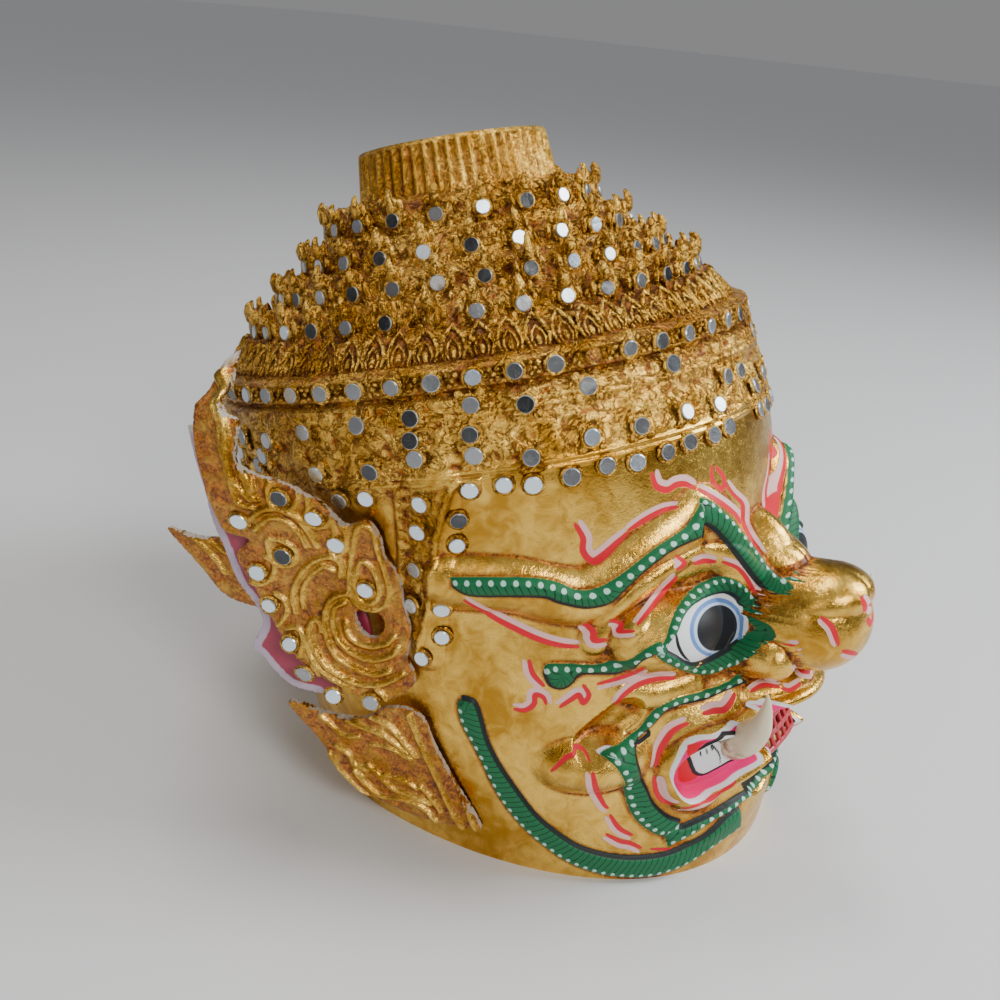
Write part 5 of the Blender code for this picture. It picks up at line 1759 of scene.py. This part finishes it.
# %% Carving on the plates, in photograph pixels
EAR_RIBS = (
    (((346, 622), (348, 632), (357, 642), (373, 646), (388, 643), (395, 636)), 1.3, 1.1),
    (((346, 601), (336, 607), (334, 621), (339, 638), (353, 652), (374, 659), (394, 654),
      (398, 647)), 1.5, 1.6),
    (((349, 593), (334, 597), (326, 612), (327, 633), (336, 653), (355, 667), (377, 674),
      (391, 670)), 1.5, 1.6),
    (((322, 630), (321, 621), (314, 619), (310, 630), (314, 645), (324, 661), (341, 675),
      (363, 684), (388, 682), (404, 673)), 1.4, 1.5),
    (((309, 626), (307, 642), (315, 661), (332, 678), (352, 687)), 1.2, 1.1),
    (((341, 576), (342, 563), (331, 556), (313, 562), (300, 577), (294, 594), (297, 611)), 1.4, 1.5),
    (((334, 570), (324, 566), (310, 577), (303, 591), (304, 607)), 1.2, 1.2),
    (((252, 520), (262, 510), (280, 509), (297, 517), (310, 532), (318, 546)), 1.5, 1.5),
    (((256, 530), (270, 518), (287, 521), (300, 532), (307, 546)), 1.3, 1.3),
    (((217, 372), (222, 395), (225, 425), (227, 454), (234, 479), (252, 499)), 1.5, 1.6),
    (((223, 370), (230, 395), (237, 415), (240, 432), (238, 450), (244, 467), (254, 489)), 1.5, 1.7),
    (((244, 415), (249, 432), (244, 447), (239, 462), (247, 484), (257, 499)), 1.3, 1.5),
    (((219, 390), (219, 420), (222, 450), (230, 479), (239, 502), (254, 507)), 1.2, 1.3),
    (((251, 582), (262, 584), (273, 577), (275, 563), (266, 556)), 1.2, 1.2),
    (((276, 593), (286, 600), (287, 614), (279, 624)), 1.2, 1.2),
    (((287, 628), (300, 628), (304, 642), (299, 656)), 1.2, 1.2),
    (((313, 664), (318, 673), (315, 684)), 1.1, 1.1),
    (((338, 681), (348, 690), (346, 701), (338, 709)), 1.2, 1.2),
    (((377, 688), (386, 698), (386, 709), (377, 716)), 1.2, 1.2),
    (((357, 700), (361, 712), (372, 716)), 1.1, 1.1),
)
EAR_LEAVES = (
    ((359, 527), (353, 549), (350, 572), (350, 591), (357, 604), (371, 611), (385, 605),
     (390, 591), (385, 572), (377, 549), (373, 530)),
    ((360, 563), (355, 583), (360, 600), (373, 603), (380, 591), (376, 575), (367, 563)),
    ((278, 468), (269, 484), (269, 499), (279, 509), (292, 509), (299, 497), (294, 484), (284, 474)),
    ((304, 487), (309, 504), (307, 519), (317, 528), (329, 524), (333, 512), (324, 499), (312, 491)),
    ((332, 516), (335, 532), (331, 549), (338, 556), (346, 546), (345, 530)),
    ((268, 541), (273, 561), (283, 566), (294, 563), (297, 552), (290, 544), (276, 539)),
)
# Each mirror is a pixel and the reflection painted on its glass: d dark, g grey, b bright.
EAR_MIRRORS = (
    (240, 521, "b"), (280, 498, "d"), (314.5, 518, "b"), (337, 544.5, "b"), (283.7, 556, "d"),
    (258.4, 572, "b"), (270, 604.5, "b"), (290.7, 643, "b"), (305, 673, "g"), (334.4, 695, "b"),
    (371.5, 701.5, "g"), (366, 589.4, "b"))
JAW_RIBS = (
    (((425, 710), (442, 748), (458, 785), (476, 830)), 1.3, 1.6),
    (((409, 714), (423, 747), (439, 782), (453, 812), (466, 833)), 1.3, 1.4),
    (((350, 710), (372, 717), (391, 726), (407, 744), (417, 756)), 1.2, 1.3),
    (((346, 718), (362, 726), (382, 733), (398, 744), (412, 758)), 1.2, 1.3),
    (((321, 713), (334, 726), (345, 734), (359, 736)), 1.2, 1.2),
    (((337, 744), (350, 753), (356, 763), (369, 769)), 1.4, 1.4),
    (((356, 769), (366, 782), (382, 795), (404, 798), (423, 806), (437, 820)), 1.3, 1.4),
    (((369, 763), (378, 772), (385, 779), (394, 788), (413, 795), (431, 803)), 1.3, 1.3),
    (((385, 774), (404, 779), (418, 788)), 1.1, 1.2),
    (((421, 785), (433, 798), (441, 811)), 1.1, 1.3),
    (((372, 744), (391, 747), (407, 757)), 1.1, 1.1),
    (((302, 698), (313, 707), (331, 707), (340, 717)), 1.2, 1.2),
    (((330, 752), (340, 768), (356, 785), (378, 802), (402, 815), (430, 829)), 1.2, 1.1),
)
REAR_RIBS = (
    (((182, 530), (198, 540), (214, 556), (226, 572)), 1.4, 1.2),
    (((184, 532), (206, 538), (226, 552)), 1.3, 1.1),
)

# %% [markdown]
# Making the plates. The four kinds differ only in outline, place, thickness and carving, so one
# function makes them all, once for each side of the head.

# %% Make the plates, and repeat them on the far side
HIDDEN_EDGE, HIDDEN_GAP = 28, 8


def make_plates(name, outline, holes, place, cell, thick, relief, finish, broken_above):
    outline = smooth_path(outline, 6, True)
    holes = [smooth_path(hole, 4, True) for hole in holes]
    points, faces, marks = carved_sheet(outline, holes, cell, thick, relief)
    torn = points[:, 1] + 1.5 * lumps(points * (1, 1, 0), 2.0, 95)
    marks["broken"] = np.clip((torn - broken_above) / 1.2, 0, 1)
    marks["rim_gap"] = marks["rim_gap"] + np.clip(HIDDEN_EDGE - points[:, 0], 0, HIDDEN_GAP)
    for side, word in ((-1, "right"), (1, "left")):
        turned = faces if side == 1 else [face[::-1] for face in faces]
        add_piece(f"{name}_{word}_carved", place(points, side), turned, finish, marks,
                  [f"{name}_{word}"])


def plate_mirrors(pixels, land_flat, place, depth):
    for u, v, tone in pixels:
        middle = land_flat([(u, v)])[0]
        for side in (-1, 1):
            def on_plate(shape, middle=middle, side=side):
                shape = np.asarray(shape)[:, [0, 2, 1]] + (middle[0], middle[1], depth)
                return place(shape, side)
            add_mirror(on_plate, SKIN_MIRROR, REFLECTION_TONES[tone], out=SKIN_MIRROR_OUT)


ear_place = PlatePlace(EAR_FORWARD, EAR_FLARE)
ear_land = ear_place.catch(EAR_THICK)
make_plates("ear_plate", EAR_OUTLINE, [EAR_HOLE], ear_place, EAR_CELL, EAR_THICK,
            carving(ear_land, EAR_RIBS, EAR_LEAVES), PLATE_GOLD, EAR_TORN_ABOVE)
plate_mirrors(EAR_MIRRORS, ear_land, ear_place, EAR_THICK)
jaw_place = PlatePlace(JAW_FORWARD, JAW_FLARE)
make_plates("jaw_plate", JAW_OUTLINE, [], jaw_place, JAW_CELL, JAW_THICK,
            carving(jaw_place.catch(JAW_THICK), JAW_RIBS), PLATE_GOLD, NEVER_TORN)
backing_place = PlatePlace(BACKING_FORWARD, EAR_FLARE)
backing_land = backing_place.catch(THIN_BOARD)
BACKING_OUTLINE = np.vstack([backing_land(BACKING_EDGE), BACKING_HIDDEN])
print("backing reaches", BACKING_OUTLINE.max(axis=0).round(1))
make_plates("ear_backing", BACKING_OUTLINE, [], backing_place, BACKING_CELL, THIN_BOARD,
            carving(backing_land, (), rough=0.12), RED_BACKING,
            BACKING_OUTLINE[:, 1].max() - BACKING_TORN)
rear_place = PlatePlace(REAR_FORWARD, EAR_FLARE)
make_plates("rear_flame", REAR_FLAME_OUTLINE, [], rear_place, REAR_CELL, THIN_BOARD,
            carving(rear_place.catch(THIN_BOARD), REAR_RIBS), PLATE_GOLD, NEVER_TORN)

# %% [markdown]
# Tusks and the mouth grille. A tusk is a curved, tapering bar with its root in the lip. It is carved
# from wood and painted ivory, a little browner at the root, and the two were set by hand, so their
# tips differ a little in height. The grille is cut from thin board.

# %% Tusks
TUSK_ANGLE, TUSK_HEIGHT, TUSK_BASE = math.radians(12.5), 30, 6.8
TUSK_ROOT_WAY = Vector((0.40, -0.75, 0.45)).normalized()
TUSK_TIPS = {"left": Vector((51.2, -141.0, 70.5)), "right": Vector((49.6, -139.4, 65.5))}
TUSK_STEPS, TUSK_SIDES, TUSK_SUNK, TUSK_POINT = 40, 26, 3.8, 0.35
IVORY_DARK, IVORY_LIGHT, ROOT_BROWN = (0.66, 0.54, 0.31, 1), (0.84, 0.75, 0.55, 1), (0.3, 0.16, 0.07, 1)


def make_ivory():
    finish, tree, shader = new_finish("ivory paint")
    streak = cloud(tree, 6, 4, 0.6, 0.3, (1, 1, 0.3))
    pale = mix_colours(tree, streak, IVORY_DARK, IVORY_LIGHT)
    root = step_up(tree, mark(tree, "along"), 0.3, 0.02)
    root = calc(tree, "MULTIPLY", root, step_up(tree, cloud(tree, 3, 3), 0.35, 0.65))
    feed(tree, shader.inputs["Base Color"], mix_colours(tree, root, pale, ROOT_BROWN))
    feed(tree, shader.inputs["Roughness"], calc(tree, "MULTIPLY_ADD", streak, 0.25, 0.25))
    shader.inputs["Coat Weight"].default_value = 0.15
    raise_relief(tree, shader, streak, 0.3, 0.4)
    return finish


def make_tusks():
    ivory = make_ivory()
    radius = float(form_radius(np.array([TUSK_ANGLE]), np.array([float(TUSK_HEIGHT)]))[0])
    lip = Vector(spot(np.array(TUSK_ANGLE), radius, TUSK_HEIGHT))
    steps = np.linspace(0, 1, TUSK_STEPS)
    radii = [TUSK_BASE * (1 - t**1.3) + TUSK_POINT for t in steps]
    along = np.repeat(np.concatenate([[0], steps]), TUSK_SIDES)
    for side, word in ((1, "left"), (-1, "right")):
        tip = TUSK_TIPS[word]
        bend = lip + TUSK_ROOT_WAY * (tip - lip).length * 0.42
        sunk = lip - TUSK_ROOT_WAY * TUSK_SUNK
        centres = [sunk] + [(1 - t)**2 * lip + 2 * t * (1 - t) * bend + t**2 * tip for t in steps]
        points, faces = swept([tuple(c) for c in centres], [radii[0]] + radii, TUSK_SIDES)
        points = points + 0.15 * lumps(points, 5, 97)[:, None]
        turned = [face[::-1] for face in faces] if side == 1 else faces
        add_piece(f"tusk_{word}_painted", points * (side, 1, 1), turned, ivory,
                  {"along": along}, [f"tusk_{word}"])


make_tusks()

# %% The mouth grille
GRILLE_HALF, GRILLE_LOW, GRILLE_HIGH, GRILLE_BAR = 13.0, 17.5, 35.5, 1.9
GRILLE_COLUMNS, GRILLE_ROWS = 5, 3
GRILLE_LEAN, GRILLE_FRONT, GRILLE_BEND = 0.22, 120.0, 160
GRILLE_CELL, GRILLE_THICK, GRILLE_LUMPS = 0.45, 1.6, 0.08


def make_grille():
    """The red grille that the dancer looks and breathes through, with square holes."""
    low = np.array((-GRILLE_HALF, GRILLE_LOW))
    step = (np.array((GRILLE_HALF, GRILLE_HIGH)) - low - GRILLE_BAR) / (GRILLE_COLUMNS, GRILLE_ROWS)
    corners = np.array(((0, 0), (1, 0), (1, 1), (0, 1)))
    outline = low + corners * (2 * GRILLE_HALF, GRILLE_HIGH - GRILLE_LOW)
    holes = [low + GRILLE_BAR + step * (i, j) + corners * (step - GRILLE_BAR)
             for i in range(GRILLE_COLUMNS) for j in range(GRILLE_ROWS)]

    def relief(out, height):
        return GRILLE_LUMPS * lumps(np.stack([out, height, 0 * out], -1), 1.5, 99)

    points, faces, marks = carved_sheet(outline, holes, GRILLE_CELL, GRILLE_THICK, relief)
    across, height, depth = points.T
    front = GRILLE_FRONT - GRILLE_LEAN * (height - GRILLE_LOW) - across**2 / GRILLE_BEND + depth
    marks["broken"] = 0 * across
    turned = [face[::-1] for face in faces]
    add_piece("mouth_grille", np.stack([across, -front, height], -1), turned, RED_GRILLE, marks,
              ["mouth_lattice"], False)


make_grille()

# %% [markdown]
# The mirrors and their gold rings were collected while the crown, the skin and the plates were made.
# Each collection now becomes one piece. The glass is flat, so it isn't smoothed.

# %% Gather the mirrors and their settings
mirrors.piece("mirrors", MIRROR_GLASS, smooth=False)
settings.piece("mirror_settings", ROUGH_GOLD)

# %% [markdown]
# The stage: a plain pale floor and soft lights. Gold only looks like gold when it has bright and
# dark things to reflect, so the lights are large panels on a dim surround. Its horizon is as pale as
# the floor, and one very wide light from above keeps the floor even.

# %% Floor
FLOOR_GREY, FLOOR_HALF = (0.66, 0.66, 0.66, 1), 14.0


def make_floor():
    finish, tree, shader = new_finish("pale floor")
    shader.inputs["Base Color"].default_value = FLOOR_GREY
    shader.inputs["Roughness"].default_value = 0.6
    mesh = bpy.data.meshes.new("floor")
    half = FLOOR_HALF
    mesh.from_pydata([(-half, -half, 0), (half, -half, 0), (half, half, 0), (-half, half, 0)],
                     [], [(0, 1, 2, 3)])
    mesh.materials.append(finish)
    floor = bpy.data.objects.new("floor", mesh)
    bpy.context.scene.collection.objects.link(floor)


# %% Lights and surround
LIGHTS = {
    "side": ((0.7, -0.85, 1.0), (0.5, 0.7), 20, (0.9, 0.95, 1.0)),
    "key": ((-0.55, -1.1, 0.95), (0.4, 0.3), 10.5, (1.0, 0.96, 0.9)),
    "fill": ((-1.3, -0.1, 0.7), (0.5, 0.6), 2.2, (1.0, 0.9, 0.8)),
    "top": ((0.1, 0.3, 1.4), (0.5, 0.35), 7, (1.0, 0.97, 0.93)),
}


LIGHT_AIM = Vector((0, 0, 0.12))
EVEN_POWER, EVEN_WIDTH = 0.55, 110
SURROUND_LOW, SURROUND_HIGH, HORIZON = (0.2, 0.19, 0.18, 1), (0.34, 0.35, 0.38, 1), (0.5, 0.5, 0.51, 1)
SURROUND_POWER = 0.5


def make_lights():
    for name, (place, size, power, colour) in LIGHTS.items():
        data = bpy.data.lights.new(name, "AREA")
        data.shape = "RECTANGLE"
        data.size, data.size_y = size
        data.energy = power
        data.color = colour
        light = bpy.data.objects.new(name, data)
        light.location = place
        aim = LIGHT_AIM - Vector(place)
        light.rotation_euler = aim.to_track_quat("-Z", "Y").to_euler()
        bpy.context.scene.collection.objects.link(light)
    even = bpy.data.lights.new("even light", "SUN")
    even.energy = EVEN_POWER
    even.angle = math.radians(EVEN_WIDTH)
    bpy.context.scene.collection.objects.link(bpy.data.objects.new("even light", even))


def make_surround():
    world = bpy.data.worlds.new("dim surround")
    bpy.context.scene.world = world
    world.use_nodes = True
    tree = world.node_tree
    back = tree.nodes["Background"]
    turn = add_node(tree, "SeparateXYZ")
    tree.links.new(add_node(tree, "TexCoord").outputs["Generated"], turn.inputs[0])
    up = step_up(tree, turn.outputs["Z"], -0.2, 0.9)
    dome = mix_colours(tree, up, SURROUND_LOW, SURROUND_HIGH)
    horizon = step_up(tree, turn.outputs["Z"], 0.26, 0.04)
    feed(tree, back.inputs["Color"], mix_colours(tree, horizon, dome, HORIZON))
    back.inputs["Strength"].default_value = SURROUND_POWER


make_floor()
make_lights()
make_surround()
print("lights:", ", ".join(LIGHTS))
